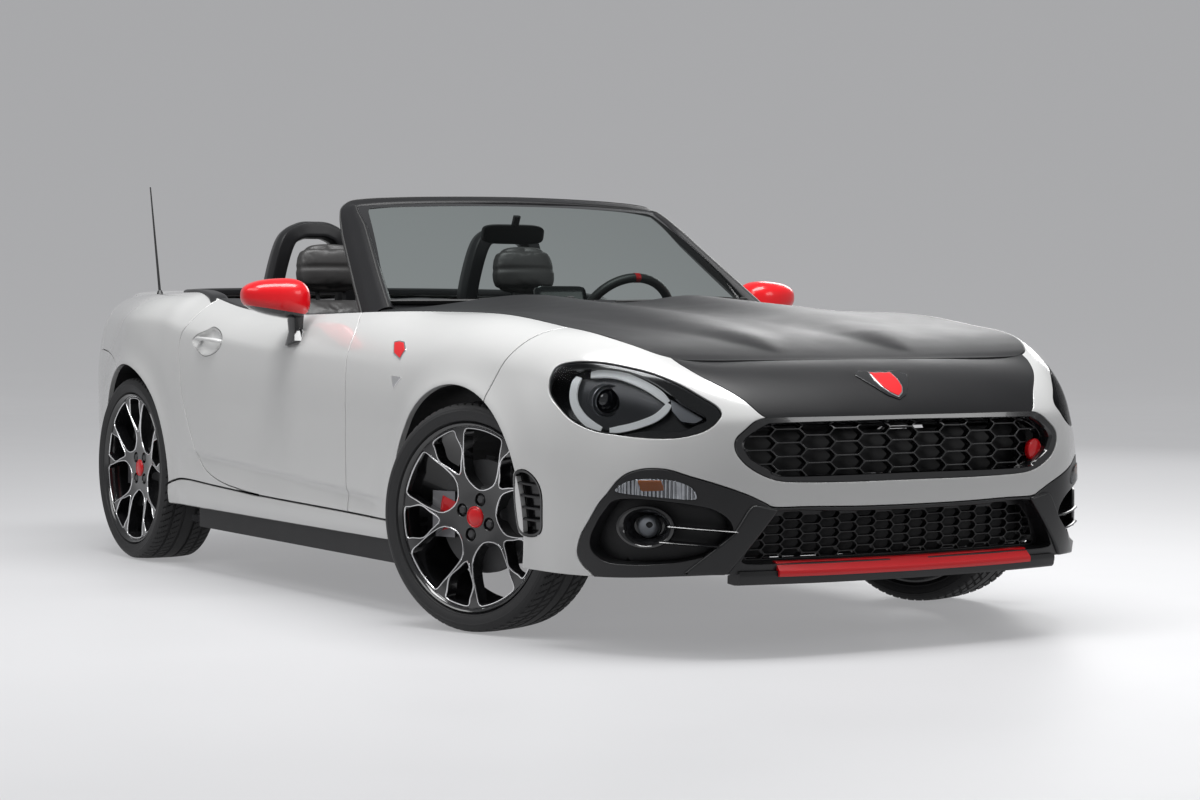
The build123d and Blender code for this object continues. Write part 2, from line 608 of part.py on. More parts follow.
def hoop(x):
    """One roll hoop behind a seat: an inverted U of round tube."""
    path = FilletPolyline((x - 150, 750, SHELF_Z), (x - 85, 735, 1098), (x + 85, 735, 1098), (x + 150, 750, SHELF_Z), radius=60)
    tube = sweep(Plane(path @ 0, z_dir=path % 0) * Circle(32), path=path)
    return tube - box(x - 250, x + 250, 600, 900, SHELF_Z - 100, SHELF_Z)


def windscreen_frame():
    """Two pillars, the header and the cabin mirror under it."""
    pillar = Solid.make_loft([
        Wire.make_polygon([(590, -425, COWL_Z[0]), (676, -392, COWL_Z[0]), (676, -335, COWL_Z[0]), (600, -350, COWL_Z[0])]),
        Wire.make_polygon([(500, 18, 1172), (548, 45, 1172), (556, 104, 1172), (505, 98, 1172)]),
    ], ruled=True)
    wires = []
    for x, y, z in ((-558, 68, 1162), (-300, 30, 1184), (0, 15, 1192), (300, 30, 1184), (558, 68, 1162)):
        line = [(y - 38, z - 20), (y - 38, z), (y, z + 12), (y + 42, z + 10), (y + 42, z - 20)]
        wires.append(Wire.make_polygon([(x, a, b) for a, b in line]))
    header = Solid.make_loft(wires, ruled=True)
    cabin_mirror = box(-110, 110, 20, 46, 1060, 1122) + box(-15, 15, 20, 40, 1110, 1180)
    return pillar + mirror(pillar, Plane.YZ) + header + cabin_mirror


def windscreen():
    def pane(z, half, side_y, middle_y, wall):
        return Wire([e.edge() for e in (
            ThreePointArc((-half, side_y, z), (0, middle_y, z), (half, side_y, z)),
            Line((half, side_y, z), (half, side_y + wall, z)),
            ThreePointArc((half, side_y + wall, z), (0, middle_y + wall, z), (-half, side_y + wall, z)),
            Line((-half, side_y + wall, z), (-half, side_y, z)))])
    glass = Solid.make_loft([pane(COWL_Z[1] + TOUCH, 648, -362, -566, 8), pane(1184, 512, 46, -12, 8)], ruled=True)
    return glass - windscreen_frame()


def cowl():
    """Scuttle panel between the bonnet and the windscreen, with the two wipers on it."""
    front = [(x, BONNET_REAR_Y - 25 + 170 * (x / 674) ** 2) for x in range(-670, 671, 134)]
    back = [(x, -552 + 204 * (x / 648) ** 2) for x in range(670, -671, -134)]
    swing = [(x, y + 8) for x, y in bonnet_outline(0)]
    lid = crowned(BONNET_ROWS, 60, LID_WALL + 8) & prism_z(swing, 650, 1000)
    return prism_z(front + back, *COWL_Z) - lid - windscreen_frame()


def dashboard():
    """Dashboard with the steering column."""
    line = [(-620 + TOUCH, 560), (-620 + TOUCH, 800), (-560, 826), (-380, 836), (-250, 820), (-225, 740), (-300, 560)]
    column = STEERING * Pos(0, 0, -140) * Cylinder(40, 280 - 46 - 2 * TOUCH)
    return prism_x(line, -580, 580) + column


STEERING = Pos(SEAT_X, -45, 800) * Rot(-65, 0, 0)


def steering_wheel():
    return STEERING * (Torus(172, 15) + Box(320, 34, 14) + Pos(0, -80, 0) * Box(36, 160, 14) + Cylinder(60, 46))


def side_mirror():
    head = fillet((Pos(918, -105, 884) * Box(160, 95, 122)).edges(), 36)
    foot = Solid.make_loft([
        Wire.make_polygon([(790, -190, 755), (850, -185, 755), (850, -130, 755), (790, -125, 755)]),
        Wire.make_polygon([(868, -145, 845), (915, -145, 845), (915, -85, 845), (868, -85, 845)]),
    ], ruled=True)
    return head + foot


def engine():
    return box(-240, 240, -1180, FIREWALL_Y - 10, 214 + TOUCH, 700)


def front_subframe():
    """Cross member, rails, crash beam and the arms that hold the knuckles."""
    low, high = AXLE_Z - 106 - TOUCH, AXLE_Z + 140 + TOUCH
    frame = box(-330, 330, -1255, -1055, 190, 214) + box(-560, 560, -1850, -1820, 240, 430)
    for s in (-1, 1):
        wedge = [(s * 320, -1275), (s * 320, -1035), (s * 690, -1125), (s * 745, -1140), (s * 745, -1170), (s * 690, -1185)]
        frame += prism_z(wedge, low - 24, low)
        frame += box(s * 300, s * 340, -1821, FIREWALL_Y, 213, 300)
        frame += box(s * 335, s * 745, -1180, -1130, high, high + 20)
        frame += box(s * 300, s * 340, -1200, -1110, 290, high + 20)
    eye_x, eye_y, eye_z = TOWING_EYE
    frame += box(eye_x - 20, eye_x + 20, -1850, -1820, 400, eye_z + 20)
    frame += Pos(eye_x, (eye_y - 1825) / 2, eye_z) * Rot(90, 0, 0) * Cylinder(EYE_RADIUS + 6, -1825 - eye_y)
    return frame - Pos(eye_x, eye_y, eye_z) * Rot(90, 0, 0) * Cylinder(EYE_RADIUS, 2 * EYE_DEPTH)


def rear_subframe():
    """Cross member, rails and arms, with the rear hubs and calipers."""
    frame = box(-330, 330, 1055, 1255, 190, 310)
    for s in (-1, 1):
        frame += box(s * 320, s * 745, 1125, 1185, AXLE_Z - 120, AXLE_Z - 100)
        frame += box(s * 300, s * 340, BULKHEAD_Y + WALL, 1640, 300, 380)
        frame += at_wheel(knuckle(), s, False)
    return frame


def liners():
    """Arch liners, trimmed to the panels round them."""
    shells = []
    for y, rows in ((FRONT_AXLE_Y, FRONT_SIDE), (REAR_AXLE_Y, QUARTER)):
        shell = across(LINER_RADIUS + LINER_WALL, 500, 880, y, AXLE_Z) - across(LINER_RADIUS, 490, 890, y, AXLE_Z)
        shell -= box(480, 900, y - 400, y + 400, -100, AXLE_Z)
        shells.append(shell - outside(rows))
    return Compound([s for shell in shells for s in both(shell).solids()])


def boot_tub():
    outer = box(-494, 494, 1192, 1830, BOOT_FLOOR_Z, 888) - crowned(DECK_ROWS, 60, LID_WALL + TOUCH)
    return outer - box(-479, 479, 1207, 1815, BOOT_FLOOR_Z + 15, 950)


def soft_top():
    body = box(-600, 600, 850, WELL_REAR_Y - 10, SHELF_Z, 898)
    return fillet(body.edges().filter_by(Axis.X).sort_by(Axis.Z)[-2:], 25)


def exhaust():
    """Silencer on its hanger, with four tail pipes."""
    can = box(-420, 420, 1660, 1850, 236, 390) + box(-30, 30, 1720, 1760, 380, BOOT_FLOOR_Z - TOUCH)
    for x in PIPE_X:
        can += Pos(x, 1925, PIPE_Z) * Rot(90, 0, 0) * Cylinder(PIPE_RADIUS, 190)
    for x in PIPE_X:
        can -= Pos(x, 1980, PIPE_Z) * Rot(90, 0, 0) * Cylinder(PIPE_RADIUS - 4, 120)
    return can


def antenna():
    """Eight-sided tapering rod on its foot."""
    line = Pos(-600, 1500, 885) * Rot(-13, 0, 0)
    foot = loft([line * Pos(0, 0, z) * RegularPolygon(r, 8) for z, r in ((0, 17), (26, 8))], ruled=True)
    return foot + loft([line * Pos(0, 0, z) * RegularPolygon(r, 8) for z, r in ((20, 5), (404, 2.5))], ruled=True)


def cabin():
    save("floor_pan", floor_pan())
    save("seats", Compound([*seat(-SEAT_X).solids(), *seat(SEAT_X).solids()]))
    save("roll_hoops", Compound([*hoop(-SEAT_X).solids(), *hoop(SEAT_X).solids()]))
    save("windscreen_frame", windscreen_frame())
    save("windscreen", windscreen())
    save("cowl", cowl())
    save("dashboard", dashboard())
    save("steering_wheel", steering_wheel())
    save("centre_console", box(-110, 110, -215, 600, 400, 470))
    save("engine", engine())
    save("front_subframe", front_subframe())
    save("rear_subframe", rear_subframe())
    save("wheel_arch_liners", liners())
    save("boot_tub", boot_tub())
    save("soft_top", soft_top())
    save("exhaust", exhaust())


os.makedirs(OUT, exist_ok=True)
wheels()
body_panels()
cabin()
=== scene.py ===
"""Two-seat roadster with its soft top folded away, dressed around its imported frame.

Sizes are in millimetres, as in the makers' own tables, and become metres when a mesh is made. The car
faces -Y, its left side is +X, and the origin is on the ground midway between the axles. Body panels are
trimmed patches of a few smooth surfaces, each kept as a dense grid of points and normals; every opening
and shut line is a closed line on such a surface, with a rolled edge that turns in behind the panel.
"""

import logging
import math
from collections.abc import Callable
from dataclasses import dataclass, field, replace
from enum import Enum

import bpy
import numpy as np
from mathutils import Matrix, Vector
from mathutils.geometry import delaunay_2d_cdt


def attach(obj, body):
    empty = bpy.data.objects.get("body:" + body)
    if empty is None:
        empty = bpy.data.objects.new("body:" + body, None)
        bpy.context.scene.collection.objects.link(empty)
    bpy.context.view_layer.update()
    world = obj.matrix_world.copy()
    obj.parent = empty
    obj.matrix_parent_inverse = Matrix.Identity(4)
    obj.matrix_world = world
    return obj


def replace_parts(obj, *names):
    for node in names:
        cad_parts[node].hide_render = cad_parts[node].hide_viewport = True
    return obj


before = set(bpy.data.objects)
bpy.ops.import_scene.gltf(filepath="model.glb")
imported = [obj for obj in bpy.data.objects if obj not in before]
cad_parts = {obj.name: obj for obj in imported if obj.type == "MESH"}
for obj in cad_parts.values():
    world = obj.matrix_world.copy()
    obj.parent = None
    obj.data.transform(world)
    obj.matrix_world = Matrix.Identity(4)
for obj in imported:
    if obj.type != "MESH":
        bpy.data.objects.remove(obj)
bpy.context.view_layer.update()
LOG = logging.getLogger("roadster")
Line = np.ndarray | list | tuple

FRONT_AXLE_Y, REAR_AXLE_Y, AXLE_Z = -1155.0, 1155.0, 308.0
ARCH_RADIUS = 352.0
SIDES = (("left", 1.0), ("right", -1.0))
MIRROR = np.array((-1.0, 1.0, 1.0))
MM = 0.001
# How near the middle plane a point counts as lying on it, and how far the front wheels stand turned.
ON_MIDDLE = 0.05
PARKED_TURN = 20.0
GLASS_INDEX = 1.5


# ---- shapes and surfaces ------------------------------------------------------------------------
def array(values: Line) -> np.ndarray:
    """Returns the values as a float array."""
    return np.asarray(values, dtype=float)


def unit(vectors: np.ndarray) -> np.ndarray:
    """Returns the vectors divided by their lengths."""
    return vectors / np.maximum(np.linalg.norm(vectors, axis=-1, keepdims=True), 1e-9)


def turn(degrees: float, axis: str) -> np.ndarray:
    """Returns the 3 by 3 matrix of a turn about one of the axes X, Y or Z."""
    return array(Matrix.Rotation(math.radians(degrees), 3, axis))


@dataclass
class Shape:
    """Points, faces and optional point normals of one mesh, in millimetres."""

    points: np.ndarray
    quads: np.ndarray = field(default_factory=lambda: np.zeros((0, 4), int))
    tris: np.ndarray = field(default_factory=lambda: np.zeros((0, 3), int))
    normals: np.ndarray | None = None

    def moved(self, x: float = 0.0, y: float = 0.0, z: float = 0.0) -> "Shape":
        """Returns the shape shifted."""
        return replace(self, points=self.points + array((x, y, z)))

    def turned(self, matrix: np.ndarray) -> "Shape":
        """Returns the shape with a turning matrix applied to its points and normals."""
        normals = None if self.normals is None else self.normals @ matrix.T
        return replace(self, points=self.points @ matrix.T, normals=normals)

    def other_side(self) -> "Shape":
        """Returns the mirror image across the car's middle plane, with its faces still outward."""
        normals = None if self.normals is None else self.normals * MIRROR
        return Shape(self.points * MIRROR, self.quads[:, ::-1], self.tris[:, ::-1], normals)

    def inside_out(self) -> "Shape":
        """Returns the shape with its faces turned round."""
        normals = None if self.normals is None else -self.normals
        return Shape(self.points, self.quads[:, ::-1], self.tris[:, ::-1], normals)

    def welded(self, close: float = 0.01) -> "Shape":
        """Returns the shape with coincident points merged and collapsed faces tidied."""
        keys = np.round(self.points / close).astype(np.int64)
        _, first, index = np.unique(keys, axis=0, return_index=True, return_inverse=True)
        index = index.reshape(-1)
        quads, tris = index[self.quads], index[self.tris]
        extra = []
        for k in range(4):
            same = quads[:, k] == quads[:, (k + 1) % 4]
            extra.append(np.delete(quads[same], (k + 1) % 4, axis=1))
            quads = quads[~same]
        tris = np.vstack([tris] + extra)
        good = (tris[:, 0] != tris[:, 1]) & (tris[:, 1] != tris[:, 2]) & (tris[:, 0] != tris[:, 2])
        normals = None if self.normals is None else self.normals[first]
        return Shape(self.points[first], quads, tris[good], normals)

    def whole(self) -> "Shape":
        """Returns the shape and its mirror image, merged where they meet on the middle plane."""
        return joined([self, self.other_side()]).welded()


def joined(shapes: list[Shape]) -> Shape:
    """Returns several shapes as one."""
    starts = np.cumsum([0] + [len(s.points) for s in shapes[:-1]])
    has_normals = all(s.normals is not None for s in shapes)
    return Shape(
        np.vstack([s.points for s in shapes]),
        np.vstack([s.quads + n for s, n in zip(shapes, starts)]),
        np.vstack([s.tris + n for s, n in zip(shapes, starts)]),
        np.vstack([s.normals for s in shapes]) if has_normals else None,
    )


def mirrored(half: np.ndarray) -> np.ndarray:
    """Returns the closed line of a left half line, whose ends lie on the middle, and its mirror image."""
    return np.vstack([half, (half * (-1, 1))[-2:0:-1]])


def carried_over(half: np.ndarray) -> np.ndarray:
    """Returns the open line of a left half line in space that ends on the middle, and its mirror image."""
    return np.vstack([half, (half * MIRROR)[-2::-1]])


def middle_of(loop: np.ndarray) -> np.ndarray:
    """Returns the middle of a line's box."""
    return (loop.min(axis=0) + loop.max(axis=0)) / 2


def drawn_in(loop: np.ndarray, share: float | Line) -> np.ndarray:
    """Returns a line drawn in to a share of its size about the middle of its box."""
    middle = middle_of(loop)
    return middle + (loop - middle) * share


def net(points: np.ndarray, wrap_u: bool = False, wrap_v: bool = False) -> Shape:
    """Returns the quads of a grid of points (u, v, 3); a face looks along du x dv."""
    nu, nv = points.shape[:2]
    index = np.arange(nu * nv).reshape(nu, nv)
    if wrap_u:
        index = np.vstack([index, index[:1]])
    if wrap_v:
        index = np.hstack([index, index[:, :1]])
    a, b, c, d = index[:-1, :-1], index[1:, :-1], index[1:, 1:], index[:-1, 1:]
    return Shape(points.reshape(-1, 3), np.stack([a, b, c, d], axis=-1).reshape(-1, 4))


def fan(ring: np.ndarray) -> Shape:
    """Returns a flat cap: triangles from a closed ring's middle, facing along the ring's own turn."""
    n = len(ring)
    i = np.arange(n)
    tris = np.stack([i, (i + 1) % n, np.full(n, n)], axis=-1)
    return Shape(np.vstack([ring, ring.mean(axis=0)]), tris=tris)


def spline(points: Line, steps: int, closed: bool = False) -> np.ndarray:
    """Returns a Catmull-Rom curve through the points, with the given number of steps between each two."""
    rows = array(points)
    if closed:
        rows = np.vstack([rows[-1:], rows, rows[:2]])
    else:
        rows = np.vstack([2 * rows[:1] - rows[1:2], rows, 2 * rows[-1:] - rows[-2:-1]])
    count = len(rows) - 3
    q = np.arange(count * steps + (0 if closed else 1)) / steps
    i = np.minimum(q.astype(int), count - 1)
    t = (q - i)[:, None]
    a, b, c, d = rows[i], rows[i + 1], rows[i + 2], rows[i + 3]
    return b + 0.5 * t * (c - a + t * (2 * a - 5 * b + 4 * c - d + t * (3 * (b - c) + d - a)))


def spaced(line: Line, step: float, closed: bool = False) -> np.ndarray:
    """Returns points at about equal distances along a line of straight runs."""
    line = array(line)
    if closed:
        line = np.vstack([line, line[:1]])
    length = np.concatenate([[0], np.cumsum(np.linalg.norm(np.diff(line, axis=0), axis=1))])
    count = max(int(round(length[-1] / step)), 3 if closed else 1)
    at = np.linspace(0, length[-1], count + 1)[: -1 if closed else None]
    return np.stack([np.interp(at, length, column) for column in line.T], axis=-1)


def rounded(loop: Line, radius: float, step: float) -> np.ndarray:
    """Returns a closed line with its corners rounded by a running average about one radius wide."""
    fine = spaced(loop, max(radius / 4, 0.4), closed=True)
    reach = 4
    kernel = np.hanning(2 * reach + 3)[1:-1]
    around = np.vstack([fine[-reach:], fine, fine[:reach]])
    smooth = np.stack([np.convolve(c, kernel / kernel.sum(), "valid") for c in around.T], axis=-1)
    return spaced(smooth, step, closed=True)


def sweep(path: Line, profile: Line, up: Line = (0, 0, 1), closed: bool = False,
          scale: float | np.ndarray = 1.0) -> Shape:
    """Returns a closed profile carried along a path.

    At each point of the path the profile's first column lies along tangent x up, and its second
    along that x tangent; the ends are capped with fans.

    Args:
        path: the points of the path.
        profile: the closed profile as (side, up) pairs, in counter-clockwise order.
        up: the direction that the profile's second column keeps to, one for all or one each.
        closed: whether the path is a ring.
        scale: the profile's size at each point of the path, one for all or one each.

    Returns:
        The swept shape, facing outward.
    """
    path, profile = array(path), array(profile)
    if closed:
        tangent = unit(np.roll(path, -1, axis=0) - np.roll(path, 1, axis=0))
    else:
        tangent = unit(np.gradient(path, axis=0))
    side = unit(np.cross(tangent, np.broadcast_to(array(up), path.shape)))
    over = np.cross(side, tangent)
    size = np.broadcast_to(array(scale), (len(path),))[:, None, None]
    grid = path[:, None] + size * (profile[None, :, :1] * side[:, None] + profile[None, :, 1:] * over[:, None])
    shape = net(grid, wrap_u=closed, wrap_v=True).inside_out()
    if closed:
        return shape
    return joined([shape, fan(grid[0]), fan(grid[-1][::-1])]).welded(0.001)


def circle(radius: float, sides: int) -> np.ndarray:
    """Returns a circle as pairs, counter-clockwise."""
    a = np.arange(sides) * 2 * math.pi / sides
    return radius * np.stack([np.cos(a), np.sin(a)], axis=-1)


def lathe(profile: Line, sides: int) -> Shape:
    """Returns a profile of (x, radius) pairs turned about the X axis; it faces out where x grows."""
    profile = array(profile)
    a = np.arange(sides) * 2 * math.pi / sides
    grid = np.stack([
        np.broadcast_to(profile[:, :1], (len(profile), sides)),
        profile[:, 1:] * np.sin(a)[None],
        profile[:, 1:] * np.cos(a)[None],
    ], axis=-1)
    return net(grid, wrap_v=True).welded(0.001)


def pillow(half: Line, power: float = 4.0, count: int = 24) -> Shape:
    """Returns a rounded block: |x/a|^p + |y/b|^p + |z/c|^p = 1, on the six squares of a cube."""
    g = np.tan(np.linspace(-1, 1, count) * math.pi / 4)
    u, v = np.meshgrid(g, g, indexing="ij")
    one = np.ones_like(u)
    faces = [(one, u, v), (-one, v, u), (v, one, u), (u, -one, v), (u, v, one), (v, u, -one)]
    parts = []
    for face in faces:
        p = np.stack(face, axis=-1)
        size = (np.abs(p) ** power).sum(axis=-1, keepdims=True) ** (1 / power)
        parts.append(net(p / size * array(half)))
    return joined(parts).welded(0.01)


@dataclass(frozen=True)
class Rim:
    """How a panel's edge is finished: rolled over a radius, turned in to a depth, half a gap back."""

    radius: float = 2.0
    depth: float = 14.0
    gap: float = 4.0


class Surface:
    """A smooth surface kept as a dense grid; its two parameters run in about millimetres."""

    def __init__(self, points: np.ndarray, s: np.ndarray, t: np.ndarray) -> None:
        """Keeps the grid (s, t, 3) and works out its normals along ds x dt."""
        self.points, self.s, self.t = points, s, t
        self.normals = unit(np.cross(np.gradient(points, axis=0), np.gradient(points, axis=1)))

    def at(self, st: np.ndarray) -> tuple[np.ndarray, np.ndarray]:
        """Returns the points and normals at parameter pairs, by straight interpolation in the grid."""
        st = array(st)
        a = np.interp(st[:, 0], self.s, np.arange(len(self.s)))
        b = np.interp(st[:, 1], self.t, np.arange(len(self.t)))
        i = np.minimum(a.astype(int), len(self.s) - 2)
        j = np.minimum(b.astype(int), len(self.t) - 2)
        u, v = (a - i)[:, None], (b - j)[:, None]
        found = []
        for grid in (self.points, self.normals):
            low = grid[i, j] * (1 - u) + grid[i + 1, j] * u
            high = grid[i, j + 1] * (1 - u) + grid[i + 1, j + 1] * u
            found.append(low * (1 - v) + high * v)
        return found[0], unit(found[1])

    def find(self, targets: Line, axes: tuple[int, int], span: tuple[float, float]) -> np.ndarray:
        """Returns the parameters where two of the coordinates have the target values.

        The nearest grid point starts a few Newton steps on the two coordinates.

        Args:
            targets: pairs of wanted coordinates.
            axes: which two coordinates they are.
            span: the range of s that is searched.

        Returns:
            One (s, t) pair for each target.
        """
        targets = array(targets)
        axes = list(axes)
        use = np.flatnonzero((self.s >= span[0]) & (self.s <= span[1]))[::3]
        grid = self.points[use][:, ::2][..., axes]
        gap = ((grid[None] - targets[:, None, None]) ** 2).sum(axis=-1).reshape(len(targets), -1)
        i, j = np.unravel_index(gap.argmin(axis=1), grid.shape[:2])
        st = np.stack([self.s[use][i], self.t[::2][j]], axis=-1)
        low, high = array((self.s[0], self.t[0])), array((self.s[-1], self.t[-1]))
        for _ in range(5):
            here = self.at(st)[0][:, axes]
            ds = (self.at(st + (2.0, 0))[0][:, axes] - self.at(st - (2.0, 0))[0][:, axes]) / 4.0
            dt = (self.at(st + (0, 2.0))[0][:, axes] - self.at(st - (0, 2.0))[0][:, axes]) / 4.0
            det = ds[:, 0] * dt[:, 1] - ds[:, 1] * dt[:, 0]
            det = np.where(np.abs(det) < 0.02, np.inf, det)
            off = targets - here
            step = np.stack([(off[:, 0] * dt[:, 1] - off[:, 1] * dt[:, 0]) / det,
                             (ds[:, 0] * off[:, 1] - ds[:, 1] * off[:, 0]) / det], axis=-1)
            st = np.clip(st + np.clip(step, -25, 25), low, high)
        return st

    def patch(self, loops: list[np.ndarray], step: float, rim: Rim, depth: float = 0.0) -> Shape:
        """Returns the part of the surface inside the first loop and outside the others.

        The loops and a staggered grid of inner points are joined by a constrained Delaunay mesh in the
        parameter plane and lifted onto the surface. Along each loop the edge is a quarter round,
        P - r(1 - sin a)T - r(1 - cos a)N with T outward across the edge, and a wall that goes down N.

        Args:
            loops: closed lines of (s, t) pairs; the outer one first, then the holes.
            step: the distance between inner points.
            rim: how the edges are finished.
            depth: how far below the surface the patch lies.

        Returns:
            The patch with its normals; points on the car's middle plane get no edge.
        """
        turned = []
        for k, loop in enumerate(loops):
            x, y = loop.T
            area = (x * np.roll(y, -1) - np.roll(x, -1) * y).sum()
            turned.append(loop if (area > 0) == (k == 0) else loop[::-1])
        border = np.vstack(turned)
        starts = np.cumsum([0] + [len(loop) for loop in turned])
        following = np.concatenate([np.roll(np.arange(a, b), -1) for a, b in zip(starts, starts[1:])])
        before = np.concatenate([np.roll(np.arange(a, b), 1) for a, b in zip(starts, starts[1:])])
        low, high = border.min(axis=0), border.max(axis=0)
        rows = np.arange(low[1], high[1], step * 0.87)
        columns = np.arange(low[0], high[0], step)
        gx, gy = np.meshgrid(columns, rows)
        gx[1::2] += step / 2
        inner = np.stack([gx.ravel(), gy.ravel()], axis=-1)
        inner = inner[inside(inner, border, following)]
        near = np.full(len(inner), np.inf)
        for a in range(0, len(border), 64):
            gap = np.linalg.norm(inner[:, None] - border[None, a : a + 64], axis=-1).min(axis=1)
            near = np.minimum(near, gap)
        inner = inner[near > 0.55 * step]
        plane = np.vstack([border, inner])
        edges = np.stack([np.arange(len(border)), following], axis=-1)
        out = delaunay_2d_cdt([Vector(p) for p in plane.tolist()], edges.tolist(), [], 0, 1e-6)
        flat, faces = array(out[0]).reshape(-1, 2), np.asarray(out[2], int)
        faces = faces[inside(flat[faces].mean(axis=1), border, following)]
        if len(flat) != len(plane):
            nearest = ((flat[:, None] - border[None]) ** 2).sum(axis=-1).argmin(axis=0)
        else:
            nearest = np.arange(len(border))
        points, normals = self.at(flat)
        points = points - depth * normals
        edge, up = points[nearest], normals[nearest]
        middle = np.abs(edge[:, 0]) < ON_MIDDLE
        ahead, behind = edge[following], edge[before]
        along = unit(ahead - behind)
        alone = middle & ~(middle[following] & middle[before])
        along[alone] = unit((ahead - behind)[alone] * (1, 0, 0) + (1e-7, 0, 0))
        out_way = unit(np.cross(along, up))
        still = middle & middle[following] & middle[before]
        back = np.where(still[:, None], 0.0, out_way)
        rings, ring_normals = [], []
        start = edge - (rim.gap / 2) * back
        for share in (0.0, 1 / 3, 2 / 3, 1.0):
            a = share * math.pi / 2
            rings.append(start - rim.radius * (1 - math.sin(a)) * back - rim.radius * (1 - math.cos(a)) * up)
            ring_normals.append(unit(up * math.cos(a) + out_way * math.sin(a)))
        rings.append(start - rim.depth * up)
        ring_normals.append(out_way)
        points[nearest], normals[nearest] = rings[0], ring_normals[0]
        count = len(points)
        all_points = [points, *rings[1:]]
        all_normals = [normals, *ring_normals[1:]]
        chain = [nearest] + [count + k * len(border) + np.arange(len(border)) for k in range(4)]
        keep = ~(middle & middle[following])
        quads = [np.stack([a[keep], b[keep], b[following][keep], a[following][keep]], axis=-1)
                 for a, b in zip(chain, chain[1:])]
        shape = Shape(np.vstack(all_points), np.vstack(quads), faces, np.vstack(all_normals))
        a, b, c = (flat[faces[:, k]] for k in range(3))
        if len(faces) and np.cross(b - a, c - a).mean() < 0:
            shape.tris = faces[:, ::-1]
        shape.points[np.abs(shape.points[:, 0]) < ON_MIDDLE, 0] = 0.0
        return shape


def inside(points: np.ndarray, border: np.ndarray, following: np.ndarray) -> np.ndarray:
    """Returns whether each point is inside the closed lines, by counting crossings to its right."""
    count = np.zeros(len(points), int)
    for a in range(0, len(border), 128):
        p, q = border[a : a + 128], border[following[a : a + 128]]
        y = points[:, 1:2]
        across = (p[None, :, 1] > y) != (q[None, :, 1] > y)
        run = np.where(np.abs(q[:, 1] - p[:, 1]) < 1e-12, 1e-12, q[:, 1] - p[:, 1])
        x = p[None, :, 0] + (y - p[None, :, 1]) / run[None] * (q - p)[None, :, 0]
        count += (across & (x > points[:, 0:1])).sum(axis=1)
    return count % 2 == 1


# ---- the body's surfaces ------------------------------------------------------------------------
def arc(p: np.ndarray, q: np.ndarray, bow: np.ndarray, share: np.ndarray) -> np.ndarray:
    """Returns circle arcs from p to q, one a row, that bow outboard by a given height.

    With half angle f = 2 atan(2 bow / chord) and radius R = chord / (2 sin f), a point at share w is
    the chord's middle + R sin(f(2w - 1)) along the chord + R(cos(f(2w - 1)) - cos f) across it.
    """
    chord = np.linalg.norm(q - p, axis=-1)
    half = 2 * np.arctan2(2 * bow, chord)
    radius = chord / (2 * np.sin(half))
    along = (q - p) / chord[:, None]
    across = np.stack([along[:, 1], -along[:, 0]], axis=-1)
    angle = half[:, None] * (2 * share[None] - 1)
    x = radius[:, None] * np.sin(angle)
    h = radius[:, None] * (np.cos(angle) - np.cos(half)[:, None])
    return (p + q)[:, None] / 2 + x[..., None] * along[:, None] + h[..., None] * across[:, None]


def bell(grid: np.ndarray, steps: float, axis: int) -> np.ndarray:
    """Returns a padded grid averaged along one axis with a bell curve, its padding taken off."""
    reach = int(3 * steps) + 1
    kernel = np.exp(-0.5 * (np.arange(-reach, reach + 1) / steps) ** 2)
    kernel /= kernel.sum()
    count = grid.shape[axis] - 2 * reach
    parts = [k * np.take(grid, np.arange(i, i + count), axis=axis) for i, k in enumerate(kernel)]
    return np.sum(parts, axis=0)


